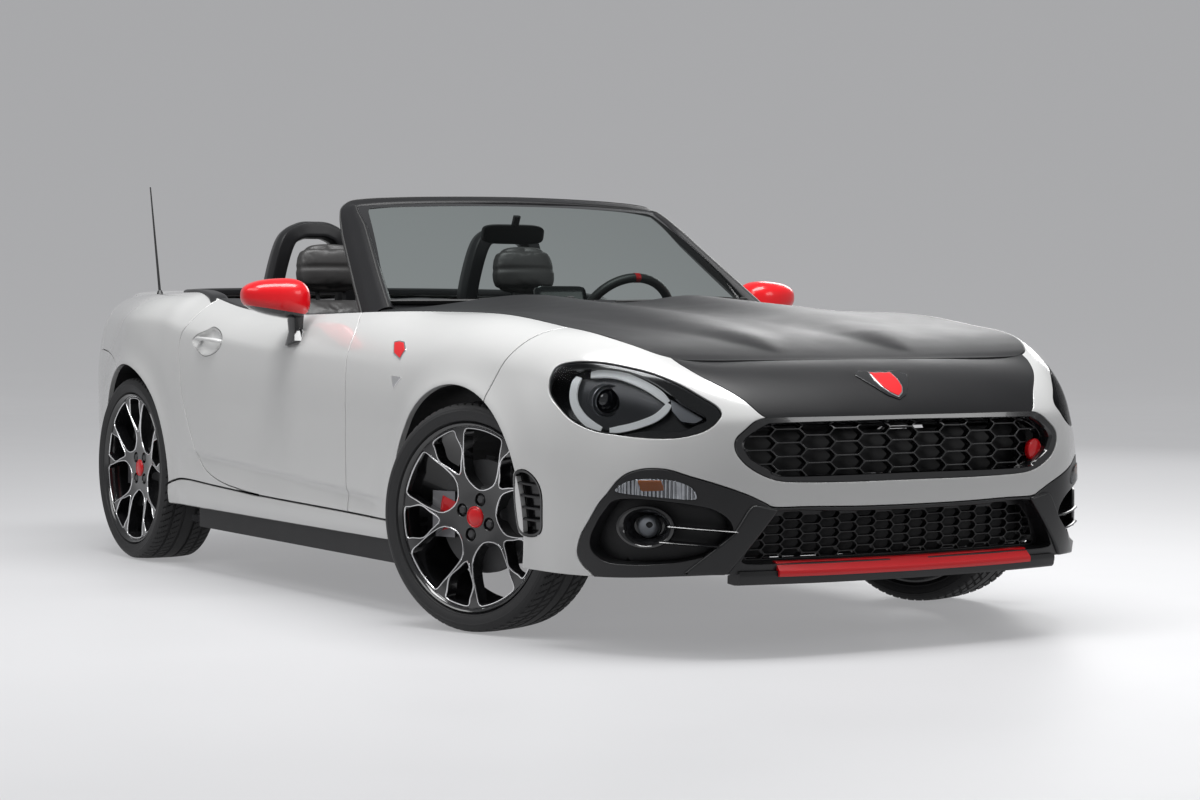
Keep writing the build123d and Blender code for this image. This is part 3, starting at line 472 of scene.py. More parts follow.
@dataclass
class BodySide:
    """The painted side of the car from the middle of its nose, round the side, to the middle of its tail.

    Each section is an upright plane through the top edge at (x, y) that looks outboard at a turn from
    straight ahead. In it three arcs run from the sill crease over the widest line and the shoulder
    crease to the top edge. Between sections each column runs on a Catmull-Rom curve.

    Columns: x, y, turn, top z, shoulder d and z, widest d and z, sill d and z, bows of the three arcs.
    """

    sections: tuple = (
        (0, -1783, 0, 734, 222, 592, 240, 430, 230, 207, 24, 4, 4),
        (260, -1783, 2, 733, 216, 592, 232, 430, 222, 208, 24, 4, 4),
        (480, -1783, 8, 732, 192, 592, 208, 430, 197, 210, 24, 4, 4),
        (580, -1768, 22, 745, 138, 592, 156, 430, 145, 204, 24, 5, 4),
        (640, -1690, 45, 776, 118, 605, 148, 430, 138, 196, 24, 6, 5),
        (668, -1590, 66, 799, 135, 645, 158, 440, 148, 195, 26, 7, 5),
        (675, -1510, 90, 810, 140, 680, 175, 500, 160, 198, 28, 8, 5),
        (678, -1440, 90, 817, 144, 688, 177, 505, 162, 205, 30, 8, 5),
        (692, -1155, 90, 847, 160, 700, 177, 530, 158, 262, 32, 7, 5),
        (702, -800, 90, 853, 148, 703, 157, 540, 146, 268, 28, 6, 4),
        (742, -500, 90, 851, 104, 715, 112, 545, 106, 275, 16, 5, 3),
        (762, 100, 90, 838, 85, 735, 90, 550, 90, 284, 10, 4, 3),
        (755, 430, 90, 856, 98, 760, 106, 555, 98, 293, 11, 4, 3),
        (737, 715, 90, 893, 121, 785, 129, 560, 118, 300, 14, 4, 3),
        (717, 860, 90, 907, 141, 806, 152, 560, 138, 270, 22, 5, 3),
        (700, 1155, 90, 900, 156, 812, 170, 560, 150, 240, 28, 6, 4),
        (625, 1600, 90, 893, 130, 800, 158, 560, 135, 235, 24, 8, 5),
        (590, 1740, 118, 893, 112, 785, 132, 560, 118, 238, 18, 8, 5),
        (540, 1850, 145, 903, 90, 780, 110, 560, 100, 240, 10, 8, 5),
        (400, 1905, 168, 911, 84, 780, 104, 560, 98, 240, 6, 8, 5),
        (0, 1930, 180, 916, 75, 780, 97, 560, 92, 240, 6, 8, 5),
    )
    counts: tuple = (40, 26, 34)
    pitch: float = 8.0
    row_pitch: float = 6.8
    softness: tuple = (18.0, 11.0)
    lip: float = 5.0
    hollow: float = 8.0

    def build(self) -> Surface:
        """Returns the side as a surface: s runs from nose to tail, t from the sill crease up."""
        rows = spline(self.sections, 24)
        x, y, angle = rows[:, 0], rows[:, 1], np.radians(rows[:, 2])
        knots = [rows[:, [8, 9]], rows[:, [6, 7]], rows[:, [4, 5]], np.stack([0 * x, rows[:, 3]], axis=-1)]
        bows = (rows[:, 12], rows[:, 11], rows[:, 10])
        pieces = []
        for k, count in enumerate(self.counts):
            share = np.linspace(0, 1, count + 1)[0 if k == 0 else 1 :]
            pieces.append(arc(knots[k], knots[k + 1], bows[k], share))
        dz = np.concatenate(pieces, axis=1)
        grid = np.stack([
            x[:, None] + dz[..., 0] * np.sin(angle)[:, None],
            y[:, None] - dz[..., 0] * np.cos(angle)[:, None],
            dz[..., 1],
        ], axis=-1)
        middle = grid[:, sum(self.counts[:2])]
        length = np.concatenate([[0], np.cumsum(np.linalg.norm(np.diff(middle, axis=0), axis=-1))])
        s = np.linspace(0, length[-1], int(length[-1] / self.pitch) + 1)
        at = np.interp(s, length, np.arange(len(length)))
        i = np.minimum(at.astype(int), len(grid) - 2)
        share = (at - i)[:, None, None]
        grid = grid[i] * (1 - share) + grid[i + 1] * share
        t = np.arange(grid.shape[1]) * self.row_pitch
        reach = int(3 * self.softness[0] / self.pitch) + 1
        grid = np.concatenate([grid[reach:0:-1] * MIRROR, grid, grid[-2 : -2 - reach : -1] * MIRROR])
        grid = bell(grid, self.softness[0] / self.pitch, 0)
        reach = int(3 * self.softness[1] / self.row_pitch) + 1
        grid = np.concatenate([
            2 * grid[:, :1] - grid[:, reach:0:-1], grid, 2 * grid[:, -1:] - grid[:, -2 : -2 - reach : -1],
        ], axis=1)
        grid = bell(grid, self.softness[1] / self.row_pitch, 1)
        surface = Surface(grid, s, t)
        raised = grid + self.sculpt(grid)[..., None] * surface.normals
        raised[[0, -1], :, 0] = 0.0
        return Surface(raised, s, t)

    def sculpt(self, points: np.ndarray) -> np.ndarray:
        """Returns how far the panels stand off the plain sections.

        Each arch has a soft lip, and a hollow h exp(-(d / 42)^2) lies under a crease low on the door.
        """
        y, z = points[..., 1], points[..., 2]
        off = np.zeros(y.shape)
        for axle in (FRONT_AXLE_Y, REAR_AXLE_Y):
            r = np.hypot(y - axle, z - AXLE_Z)
            off += self.lip * np.exp(-(((r - ARCH_RADIUS) / 24) ** 2)) - 2.5 * np.exp(-(((r - 420) / 40) ** 2))
        below = 330 + (y + 700) * 0.05 - z
        run = np.clip((y + 760) / 120, 0, 1) * np.clip((640 - y) / 100, 0, 1)
        off -= self.hollow * run * np.clip(below / 9, 0, 1) * np.exp(-((np.maximum(below, 0) / 42) ** 2))
        return off * (np.abs(points[..., 0]) > 500)


def crown(x: np.ndarray, y: np.ndarray, table: np.ndarray) -> np.ndarray:
    """Returns the height of a crowned lid: edge + (middle - edge)(1 - (x / half)^2), each a curve in y."""
    dense = spline(table, 12)
    half, edge, middle = (np.interp(y, dense[:, 0], dense[:, k]) for k in (1, 2, 3))
    share = np.clip(np.abs(x) / half, 0, 1.15)
    return edge + (middle - edge) * (1 - share * share)


def lid_surface(x: np.ndarray, y: np.ndarray, height: np.ndarray) -> Surface:
    """Returns a surface over a grid of x and y, its parameters being x and y themselves."""
    gx, gy = np.meshgrid(x, y, indexing="ij")
    return Surface(np.stack([gx, gy, height], axis=-1), x, y)


@dataclass
class BonnetTop:
    """The bonnet's outer face: a crown with two long ridges that start as tongues near the nose.

    Across each ridge the height is h(1 + cos(pi w)) / 2, with w from the crest line to the inner or
    outer foot line; along it h grows from nothing at the tongue's tip.
    """

    crown_rows: tuple = (
        (-1900, 575, 704, 706), (-1783, 575, 735, 733), (-1768, 581, 745, 739), (-1690, 640, 775, 765),
        (-1590, 668, 799, 789), (-1440, 678, 817, 811), (-1155, 692, 847, 844), (-800, 702, 853, 866),
        (-560, 735, 852, 881), (-380, 742, 849, 893),
    )
    feet: tuple = (
        (-1735, 212, 216, 220), (-1700, 150, 216, 268), (-1620, 100, 222, 352), (-1468, 45, 250, 452),
        (-1300, 16, 272, 524), (-1100, 6, 285, 572), (-800, 4, 295, 606), (-380, 4, 300, 620),
    )
    height: float = 25.0

    def build(self) -> Surface:
        """Returns the bonnet's surface over x and y."""
        x = np.arange(-770.0, 771.0, 7.0)
        y = np.arange(-1900.0, -370.0, 7.0)
        gx, gy = np.meshgrid(x, y, indexing="ij")
        z = crown(gx, gy, array(self.crown_rows))
        dense = spline(self.feet, 12)
        inner, crest, outer = (np.interp(gy, dense[:, 0], dense[:, k]) for k in (1, 2, 3))
        off = np.abs(gx) - crest
        w = np.clip(np.where(off > 0, off / (outer - crest), off / (crest - inner)), -1, 1)
        rise = self.height * np.clip((gy + 1735) / 170, 0, 1) ** 0.8 * np.clip(1.15 + (gy + 380) / 1600, 0.5, 1)
        z += rise * (0.5 + 0.5 * np.cos(math.pi * w))
        z = np.pad(z, 4, mode="reflect", reflect_type="odd")
        z = bell(bell(z, 1.3, 0), 1.3, 1)
        return lid_surface(x, y, z)


@dataclass
class DeckTop:
    """The tail's upper face behind the cockpit, crowned, with a small lip at its rear edge."""

    crown_rows: tuple = (
        (1000, 708, 903, 914), (1100, 705, 902, 914), (1155, 700, 900, 913), (1600, 625, 893, 908),
        (1740, 590, 893, 909), (1850, 540, 903, 913), (1905, 400, 911, 915), (1990, 380, 916, 918),
    )

    def build(self) -> Surface:
        """Returns the deck's surface over x and y."""
        x = np.arange(-740.0, 741.0, 8.0)
        y = np.arange(1010.0, 1990.0, 8.0)
        gx, gy = np.meshgrid(x, y, indexing="ij")
        return lid_surface(x, y, crown(gx, gy, array(self.crown_rows)))


# ---- meshes -------------------------------------------------------------------------------------
def mesh_object(name: str, shape: Shape, finish: "Finish", crease: float = 40.0,
                body: str = "chassis") -> bpy.types.Object:
    """Makes a piece from a shape and lets it ride on a body.

    Args:
        name: the piece's name.
        shape: its points and faces in millimetres; with normals it is shaded by them.
        finish: its finish.
        crease: faces that meet at more than this many degrees keep a sharp edge between them.
        body: the body it moves with.

    Returns:
        The new object.
    """
    mesh = bpy.data.meshes.new(name)
    mesh.from_pydata((shape.points * MM).tolist(), [], shape.quads.tolist() + shape.tris.tolist())
    mesh.polygons.foreach_set("use_smooth", np.ones(len(mesh.polygons), bool))
    if shape.normals is not None:
        mesh.normals_split_custom_set_from_vertices(unit(shape.normals).tolist())
    else:
        mesh.set_sharp_from_angle(angle=math.radians(crease))
    mesh.update()
    mesh.materials.append(finish.material())
    piece = bpy.data.objects.new(name, mesh)
    bpy.context.scene.collection.objects.link(piece)
    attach(piece, body)
    LOG.info("%s rides on %s: %d points", name, body, len(shape.points))
    return piece


def pair(name: str, shape: Shape, finish: "Finish", crease: float = 40.0, body: str = "chassis") -> list:
    """Makes a piece for the left side and its mirror image for the right.

    Args:
        name: the pieces' name, without the side.
        shape: the left one's shape.
        finish: their finish.
        crease: as for one piece.
        body: the body they move with; {hand} in it stands for the side.

    Returns:
        The left and the right object.
    """
    return [mesh_object(f"{name}_{hand}", shape if sign > 0 else shape.other_side(), finish, crease,
                        body.format(hand=hand)) for hand, sign in SIDES]


def modifier(piece: bpy.types.Object, kind: str, **settings) -> bpy.types.Object:
    """Adds a modifier with the given settings and returns the piece."""
    added = piece.modifiers.new(kind.lower(), kind)
    for key, value in settings.items():
        setattr(added, key, value)
    return piece


# ---- finishes -----------------------------------------------------------------------------------
def add_node(tree: bpy.types.NodeTree, kind: str, values: dict | None = None, **settings) -> bpy.types.Node:
    """Adds a shader node, with its settings first and then the values of its input sockets."""
    made = tree.nodes.new(f"ShaderNode{kind}")
    for key, value in settings.items():
        setattr(made, key, value)
    for socket, value in (values or {}).items():
        made.inputs[socket].default_value = value
    return made


class Texture(Enum):
    """What a finish's small relief is made of."""

    PEEL = "peel"
    GRAIN = "grain"
    WEAVE = "weave"
    BRUSHED = "brushed"


@dataclass(frozen=True)
class Finish:
    """A finish made of nodes: base colour with a little mottle, roughness with spread, small relief."""

    name: str
    colour: tuple[float, float, float]
    roughness: float = 0.5
    slot: str = ""
    metallic: float = 0.0
    coat: float = 0.0
    mottle: float = 0.06
    mottle_scale: float = 9.0
    spread: float = 0.05
    texture: Texture = Texture.PEEL
    scale: float = 400.0
    relief: float = 0.1
    distance: float = 0.0003
    sheen: float = 0.0
    glow: float = 0.0
    clear: float = 0.0
    specular: float = 0.5
    tint: tuple[float, float, float] = (1.0, 1.0, 1.0)

    def material(self) -> bpy.types.Material:
        """Returns the finish's material, made once."""
        found = bpy.data.materials.get(self.name)
        if found:
            return found
        made = bpy.data.materials.new(self.name)
        made.use_nodes = True
        tree = made.node_tree
        link = tree.links.new
        shader = tree.nodes["Principled BSDF"]
        for socket, value in (
            ("Metallic", self.metallic), ("Coat Weight", self.coat), ("Coat Roughness", 0.03),
            ("IOR", GLASS_INDEX), ("Sheen Weight", self.sheen), ("Specular IOR Level", self.specular),
            ("Emission Strength", self.glow), ("Emission Color", (*self.colour, 1)),
        ):
            shader.inputs[socket].default_value = value
        place = add_node(tree, "TexCoord").outputs["Object"]
        wide = add_node(tree, "TexNoise", {"Scale": self.mottle_scale, "Detail": 3})
        link(place, wide.inputs["Vector"])
        low, high = ((*(min(1.0, c * f) for c in self.colour), 1) for f in (1 - self.mottle, 1 + self.mottle))
        mix = add_node(tree, "Mix", {"A": low, "B": high}, data_type="RGBA")
        link(wide.outputs["Fac"], mix.inputs["Factor"])
        link(mix.outputs["Result"], shader.inputs["Base Color"])
        smooth, rough = max(0.0, self.roughness - self.spread), self.roughness + self.spread
        spread = add_node(tree, "MapRange", {"To Min": smooth, "To Max": rough})
        link(wide.outputs["Fac"], spread.inputs["Value"])
        link(spread.outputs["Result"], shader.inputs["Roughness"])
        bump = add_node(tree, "Bump", {"Strength": self.relief, "Distance": self.distance})
        link(self.height(tree, place), bump.inputs["Height"])
        link(bump.outputs["Normal"], shader.inputs["Normal"])
        if self.clear:
            self.see_through(tree, shader)
        return made

    def see_through(self, tree: bpy.types.NodeTree, shader: bpy.types.Node) -> None:
        """Mixes the shader into a tinted clear one by the angle of sight, as a thin pane shows."""
        link = tree.links.new
        pane = add_node(tree, "BsdfTransparent", {"Color": (*self.tint, 1)})
        angle = add_node(tree, "Fresnel", {"IOR": GLASS_INDEX})
        share = add_node(tree, "MapRange", {"To Min": 1 - self.clear})
        link(angle.outputs["Fac"], share.inputs["Value"])
        mix = add_node(tree, "MixShader")
        link(share.outputs["Result"], mix.inputs["Fac"])
        link(pane.outputs["BSDF"], mix.inputs[1])
        link(shader.outputs["BSDF"], mix.inputs[2])
        link(mix.outputs["Shader"], tree.nodes["Material Output"].inputs["Surface"])

    def height(self, tree: bpy.types.NodeTree, place: bpy.types.NodeSocket) -> bpy.types.NodeSocket:
        """Returns the socket that holds the relief's height."""
        link = tree.links.new
        if self.texture is Texture.GRAIN:
            cells = add_node(tree, "TexVoronoi", {"Scale": self.scale}, feature="DISTANCE_TO_EDGE")
            link(place, cells.inputs["Vector"])
            power = add_node(tree, "Math", {1: 0.4}, operation="POWER")
            link(cells.outputs["Distance"], power.inputs[0])
            return power.outputs[0]
        if self.texture is Texture.WEAVE:
            product = add_node(tree, "Math", operation="MULTIPLY")
            for k, direction in enumerate(("X", "Y")):
                wave = add_node(tree, "TexWave", {"Scale": self.scale}, bands_direction=direction)
                link(place, wave.inputs["Vector"])
                link(wave.outputs["Fac"], product.inputs[k])
            return product.outputs[0]
        noise = add_node(tree, "TexNoise", {"Scale": self.scale, "Detail": 4})
        if self.texture is Texture.BRUSHED:
            stretch = add_node(tree, "Mapping", {"Scale": (0.05, 1, 1)})
            link(place, stretch.inputs["Vector"])
            place = stretch.outputs["Vector"]
        link(place, noise.inputs["Vector"])
        return noise.outputs["Fac"]


PEARL = Finish("pearl_paint", (0.57, 0.57, 0.565), 0.20, "body_paint", coat=1.0, mottle=0.012, spread=0.02,
               scale=1800, relief=0.01, distance=0.0001)
MATTE = Finish("matte_black_paint_finish", (0.009, 0.009, 0.010), 0.40, "matte_black_paint", mottle=0.08,
               specular=0.22, scale=1400, relief=0.06)
SATIN = Finish("satin_black_moulding", (0.010, 0.010, 0.011), 0.34, "satin_black_plastic", mottle=0.10,
               specular=0.40, texture=Texture.GRAIN, scale=700, relief=0.10)
COARSE = Finish("grained_black_moulding", (0.010, 0.010, 0.011), 0.50, "satin_black_plastic", mottle=0.10,
                specular=0.30, texture=Texture.GRAIN, scale=450, relief=0.25)
GLOSS = Finish("gloss_black_moulding", (0.010, 0.010, 0.011), 0.14, "gloss_black_plastic", coat=0.5,
               mottle=0.08, scale=900, relief=0.02)
RED = Finish("red_paint", (0.66, 0.004, 0.009), 0.30, "red_plastic", coat=0.5, mottle=0.05, specular=0.3,
             scale=900, relief=0.03)
WHEEL = Finish("wheel_black_enamel", (0.009, 0.009, 0.010), 0.16, "wheel_black", coat=0.7, mottle=0.08,
               scale=900, relief=0.02)
RUBBER = Finish("tyre_rubber", (0.012, 0.012, 0.013), 0.62, "tyre", mottle=0.14, mottle_scale=30, scale=700,
                relief=0.2)
SEAL = Finish("rubber_seal", (0.015, 0.015, 0.015), 0.6, "satin_black_plastic", mottle=0.1, scale=800,
              relief=0.15)
LEATHER = Finish("black_leather_hide", (0.018, 0.017, 0.017), 0.45, "black_leather", mottle=0.15,
                 mottle_scale=20, texture=Texture.GRAIN, scale=520, relief=0.35, sheen=0.05)
CLOTH = Finish("roof_cloth_weave", (0.020, 0.020, 0.022), 0.9, "roof_cloth", mottle=0.15,
               texture=Texture.WEAVE, scale=260, relief=0.5, sheen=0.2)
CHROME = Finish("bright_chrome", (0.75, 0.75, 0.76), 0.09, "exhaust_steel", metallic=1.0, mottle=0.04,
                texture=Texture.BRUSHED, scale=500, relief=0.02)
# Bright metal for the lines along the wheel's windows: painted highlights standing for light caught on the rounded
# window edges.
EDGE = Finish("painted_edge_highlight", (0.75, 0.75, 0.76), 0.2, "wheel_black", metallic=1.0, mottle=0.05,
              texture=Texture.BRUSHED, scale=500, relief=0.02)
STEEL = Finish("machined_steel", (0.20, 0.20, 0.21), 0.38, "steel", metallic=1.0, mottle=0.1,
               texture=Texture.BRUSHED, scale=600, relief=0.15)
# Dark coated steel; on the brake discs its darkness is painted shade.
DARK_STEEL = Finish("coated_steel_and_painted_shade", (0.04, 0.04, 0.042), 0.5, "steel_black", mottle=0.2, scale=300,
                    relief=0.2)
COVER = Finish("lamp_cover", (0.008, 0.008, 0.009), 0.03, "lamp_clear", mottle=0.02, spread=0.01, clear=1.0,
               tint=(0.90, 0.91, 0.92), scale=300, relief=0.01)
GLASS = Finish("tinted_glass", (0.008, 0.010, 0.010), 0.02, "glass", mottle=0.02, spread=0.01, clear=1.0,
               tint=(0.56, 0.61, 0.60), scale=60, relief=0.01)
LENS = Finish("projector_glass", (0.010, 0.011, 0.014), 0.03, "lamp_clear", coat=1.0, mottle=0.05,
              spread=0.01, scale=300, relief=0.01)
LAMP_MASK = Finish("lamp_mask", (0.045, 0.047, 0.052), 0.3, "lamp_clear", metallic=0.3, mottle=0.1,
                   scale=500, relief=0.05)
LIGHT = Finish("light_guide", (0.92, 0.95, 0.96), 0.25, "lamp_clear", mottle=0.02, glow=0.25, scale=500,
               relief=0.05)
LAMP_DARK = Finish("lamp_black", (0.02, 0.021, 0.024), 0.22, "lamp_clear", mottle=0.1, coat=0.4, scale=500,
                   relief=0.05)
LAMP_GREY = Finish("lamp_grey", (0.30, 0.31, 0.33), 0.3, "lamp_clear", metallic=0.7, mottle=0.1, scale=500,
                   relief=0.05)
CRYSTAL = Finish("lamp_crystal", (0.55, 0.56, 0.58), 0.15, "lamp_clear", metallic=1.0, mottle=0.3,
                 mottle_scale=60, texture=Texture.WEAVE, scale=45, relief=0.9, distance=0.002)
AMBER = Finish("amber_lens", (0.75, 0.20, 0.03), 0.2, "lamp_clear", mottle=0.1, coat=0.6,
               texture=Texture.WEAVE, scale=120, relief=0.3)
RUBY = Finish("ruby_lens", (0.42, 0.008, 0.012), 0.08, "lamp_red", coat=1.0, mottle=0.12,
              texture=Texture.WEAVE, scale=90, relief=0.1)
RED_COVER = Finish("red_lamp_cover", (0.12, 0.002, 0.003), 0.03, "lamp_red", mottle=0.02, spread=0.01,
                   clear=0.94, tint=(0.80, 0.10, 0.11), scale=300, relief=0.01)
PLATE = Finish("blank_plate_enamel", (0.62, 0.62, 0.60), 0.4, "body_paint", mottle=0.03, scale=500,
               relief=0.05)
CARPET = Finish("cabin_carpet", (0.022, 0.022, 0.024), 0.95, "roof_cloth", mottle=0.25, mottle_scale=60,
                scale=1500, relief=0.8, distance=0.001)


# ---- painted panels -----------------------------------------------------------------------------
def wheel_arch(axle: float, start: float, end: float, radius: float = ARCH_RADIUS) -> np.ndarray:
    """Returns the (y, z) of an arch opening between two angles, in degrees from the rearward level."""
    a = np.radians(np.linspace(start, end, 60))
    return np.stack([axle + radius * np.cos(a), AXLE_Z + radius * np.sin(a)], axis=-1)


@dataclass
class Bodywork:
    """The painted and black outer panels, cut from the side, bonnet and deck surfaces.

    Lines in (y, z) are seen from the side, lines in (x, z) from in front or behind, left half only.
    """

    side: Surface
    bonnet_top: Surface
    deck_top: Surface
    step: float = 13.0
    sill_foot: float = 213.0
    deck_start: float = 1112.0
    shut: Rim = Rim(2.0, 16.0, 3.0)
    colour_line: Rim = Rim(0.25, 3.0, 0.3)
    shallow: Rim = Rim(1.0, 2.0, 0.0)
    fascia: tuple = (
        (0, 369), (158, 370), (320, 374), (413, 375), (441, 386), (489, 408), (560, 434), (618, 454), (657, 469),
        (696, 471), (725, 460), (744, 439), (759, 407), (772, 378), (785, 331), (793, 296), (795, 254), (787, 224),
        (773, 203),
    )
    grille: tuple = (
        (0, 597), (255, 597), (425, 597), (459, 588), (488, 568), (512, 548), (518, 528), (510, 503), (482, 475),
        (433, 450), (371, 438), (212, 434), (0, 434),
    )
    intake: tuple = ((0, 357), (200, 359), (409, 364), (450, 312), (492, 254), (478, 236), (300, 234), (0, 232))
    vent: tuple = (
        (781, 285), (774, 330), (762, 366), (745, 392), (690, 394), (600, 380), (560, 366), (530, 340), (526, 305),
        (560, 268), (640, 240), (740, 232), (771, 250),
    )
    lamp: tuple = (
        (807, 675), (800, 695), (788, 716), (773, 727), (751, 732), (718, 730), (680, 719), (643, 704), (602, 678),
        (569, 649), (544, 627), (538, 610), (547, 597), (569, 575), (599, 559), (641, 548), (690, 547), (733, 553),
        (770, 562), (797, 586), (809, 619), (812, 648),
    )
    nose_line: tuple = ((569, 745), (566, 728), (538, 698), (475, 650), (440, 608), (425, 597))
    fender_line: tuple = ((-1447, 817), (-1402, 789), (-1354, 718), (-1325, 650), (-1318, 618))
    slot: tuple = ((-1496, 452), (-1478, 438), (-1472, 395), (-1476, 340), (-1490, 296), (-1537, 285), (-1572, 300),
                   (-1578, 340), (-1578, 395), (-1560, 428), (-1526, 450))
    door_front: tuple = ((-395, 849), (-414, 834), (-448, 812), (-474, 775), (-486, 716), (-495, 639), (-496, 554),
                         (-496, 451), (-496, 329), (-496, 276))
    door_rear: tuple = ((650, 872), (656, 839), (672, 800), (697, 766), (708, 734), (706, 700), (684, 615),
                        (672, 559), (641, 501), (608, 442), (574, 389), (539, 355), (487, 331), (420, 313),
                        (343, 301), (220, 291), (100, 284))
    tail_line: tuple = ((1283, 636), (1309, 656), (1431, 690), (1571, 701), (1640, 700))
    tail_lamp: tuple = (
        (405, 716), (455, 762), (540, 788), (630, 792), (700, 776), (742, 742), (738, 716), (700, 694), (600, 678),
        (480, 682), (420, 694),
    )
    plate: tuple = ((0, 560), (262, 560), (278, 540), (272, 440), (250, 428), (0, 428))
    diffuser: tuple = ((0, 345), (330, 345), (470, 338), (520, 300), (560, 240))
    boot: tuple = ((0, 1186), (300, 1187), (545, 1192), (566, 1215), (562, 1400), (550, 1600), (508, 1770),
                   (432, 1848), (300, 1880), (0, 1892))

    def __post_init__(self) -> None:
        """Works out the rows of the side that matter: its top edge and its named places."""
        self.top = self.side.t[-1]
        self.edge = self.side.points[:, -1]
        self.end = self.side.s[-1]

    def front(self, line: Line, rear: bool = False) -> np.ndarray:
        """Returns (s, t) of a line seen from in front, or from behind."""
        span = (self.side_at(1500), self.end) if rear else (0.0, self.side_at(-1350))
        return self.side.find(line, (0, 2), span)

    def beside(self, line: Line) -> np.ndarray:
        """Returns (s, t) of a line seen from the side."""
        return self.side.find(line, (1, 2), (self.side_at(-1700), self.side_at(1750)))

    def side_at(self, y: float) -> float:
        """Returns the s where the top edge has reached y."""
        use = self.edge[:, 0] > 300
        use &= np.maximum.accumulate(self.edge[:, 1]) <= self.edge[:, 1] + 1e-6
        return float(np.interp(y, self.edge[use, 1], self.side.s[use]))

    def along(self, start: float, end: float, t: float, step: float = 9.0) -> np.ndarray:
        """Returns a run at constant t."""
        s = np.linspace(start, end, max(int(abs(end - start) / step), 2))
        return np.stack([s, np.full_like(s, t)], axis=-1)

    def loop(self, parts: list, soft: float = 5.0, step: float = 8.0) -> np.ndarray:
        """Returns a closed line from runs, its corners softened away from the middle plane."""
        line = np.vstack(parts)
        on_end = (line[:, 0] < 0.5) | (line[:, 0] > self.end - 0.5)
        if not on_end.any():
            return rounded(line, soft, step)
        flip = array((0.0 if line[on_end, 0].min() < 0.5 else self.end, 0.0))
        order = np.roll(np.arange(len(line)), -int(np.flatnonzero(on_end)[-1]) - 1)
        ring = line[order]
        ring_out = ring[~((ring[:, 0] < 0.5) | (ring[:, 0] > self.end - 0.5))]
        first, last = array([[flip[0], ring_out[0, 1]]]), array([[flip[0], ring_out[-1, 1]]])
        if abs(ring_out[0, 0] - flip[0]) < 60 and abs(ring_out[-1, 0] - flip[0]) < 60:
            chain = np.vstack([first, ring_out, last])
        else:
            chain = ring
        mirror = (chain * array((-1.0, 1.0)) + 2 * flip)[::-1]
        full = rounded(np.vstack([chain, mirror[1:-1]]), soft, step)
        keep = full[(full[:, 0] - flip[0]) * (1 if flip[0] < 1 else -1) > 1.0]
        cut = np.argmax(np.linalg.norm(np.diff(np.vstack([keep, keep[:1]]), axis=0), axis=1))
        keep = np.roll(keep, -cut - 1, axis=0)
        first[0, 1], last[0, 1] = keep[0, 1], keep[-1, 1]
        seam = np.linspace(last[0], first[0], max(int(abs(last[0, 1] - first[0, 1]) / step), 2))
        return np.vstack([keep, seam])

    def build(self) -> None:
        """Builds every panel."""
        self.build_front()
        self.build_sides()
        self.build_rear()
        self.build_lids()

    def build_front(self) -> None:
        """Builds the bumper, the black nose panel and the lower fascia."""
        top, side = self.top, self.side
        nose = self.front(spline(self.nose_line[1:], 6))
        corner = self.side.find([self.nose_line[0]], (0, 2), (0.0, self.side_at(-1600)))[0, 0]
        grille = self.front(spline(self.grille[2:], 6))
        fascia = self.front(spline(self.fascia, 5))
        arch = self.beside(wheel_arch(FRONT_AXLE_Y, 117.5, 197.0))
        cut = self.beside(spline(self.fender_line, 6))
        bumper = [
            self.along(corner, cut[0, 0], top), cut, arch, self.along(arch[-1, 0], fascia[-1, 0], 0.0),
            fascia[::-1], grille[::-1], nose[::-1],
        ]
        lamp = rounded(self.front(spline(self.lamp, 5, closed=True)), 5, 8)
        slot = rounded(self.beside(spline(self.slot, 4, closed=True)), 5, 7)
        shape = side.patch([self.loop(bumper), lamp, slot], self.step, self.shut)
        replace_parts(mesh_object("front_bumper_skin", shape.whole(), PEARL), "front_bumper")
        panel = [self.along(0, corner, top), nose, self.front(spline(self.grille[:3], 8))[::-1]]
        shape = side.patch([self.loop(panel, 2.0)], self.step, self.colour_line)
        mesh_object("nose_panel", shape.whole(), MATTE)
        intake = self.front(spline(self.intake, 5))
        lower = [fascia, self.along(fascia[-1, 0], 0, 0.0), intake[::-1]]
        vent = rounded(self.front(spline(self.vent, 4, closed=True)), 8, 7)
        shape = side.patch([self.loop(lower, 4.0), vent], self.step, Rim(2.5, 26.0, 1.5))
        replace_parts(mesh_object("lower_fascia_skin", shape.whole(), SATIN), "lower_fascia")

    def build_sides(self) -> None:
        """Builds the fenders, door skins, rear quarters and sills."""
        top, side = self.top, self.side
        cut = self.beside(spline(self.fender_line, 6))
        front = self.beside(spline(self.door_front, 5))
        rear = self.beside(spline(self.door_rear, 5))
        arch = self.beside(wheel_arch(FRONT_AXLE_Y, -6.5, 117.5))
        front[0, 1] = rear[0, 1] = cut[0, 1] = top
        fender = [self.along(cut[0, 0], front[0, 0], top), front, self.along(front[-1, 0], arch[0, 0], 0.0),
                  arch, cut[::-1]]
        door = [self.along(front[0, 0], rear[0, 0], top), rear, self.along(rear[-1, 0], front[-1, 0], 0.0),
                front[::-1]]
        arch = self.beside(wheel_arch(REAR_AXLE_Y, 68.5, 190.5))
        split = self.beside(spline(self.tail_line, 6))
        end = split[-1, 0]
        quarter = [self.along(rear[0, 0], end, top), np.array([[end, split[-1, 1]]]), split[::-1], arch,
                   self.along(arch[-1, 0], rear[-1, 0], 0.0), rear[::-1]]
        self.build_sills(arch[-1, 0])
        cup = rounded(self.beside(spline(Doors.cup, 5, closed=True)), 5, 5)
        shape = side.patch([self.loop(fender)], self.step, self.shut)
        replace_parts(pair("front_fender", shape, PEARL)[0], "front_fenders")
        shape = side.patch([self.loop(door), cup], self.step, self.shut)
        for piece, (hand, _) in zip(pair("door_skin", shape, PEARL, body="door_{hand}"), SIDES):
            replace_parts(piece, f"door_{hand}")
        shape = side.patch([self.loop(quarter)], self.step, self.shut)
        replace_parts(pair("rear_quarter", shape, PEARL)[0], "rear_quarters")

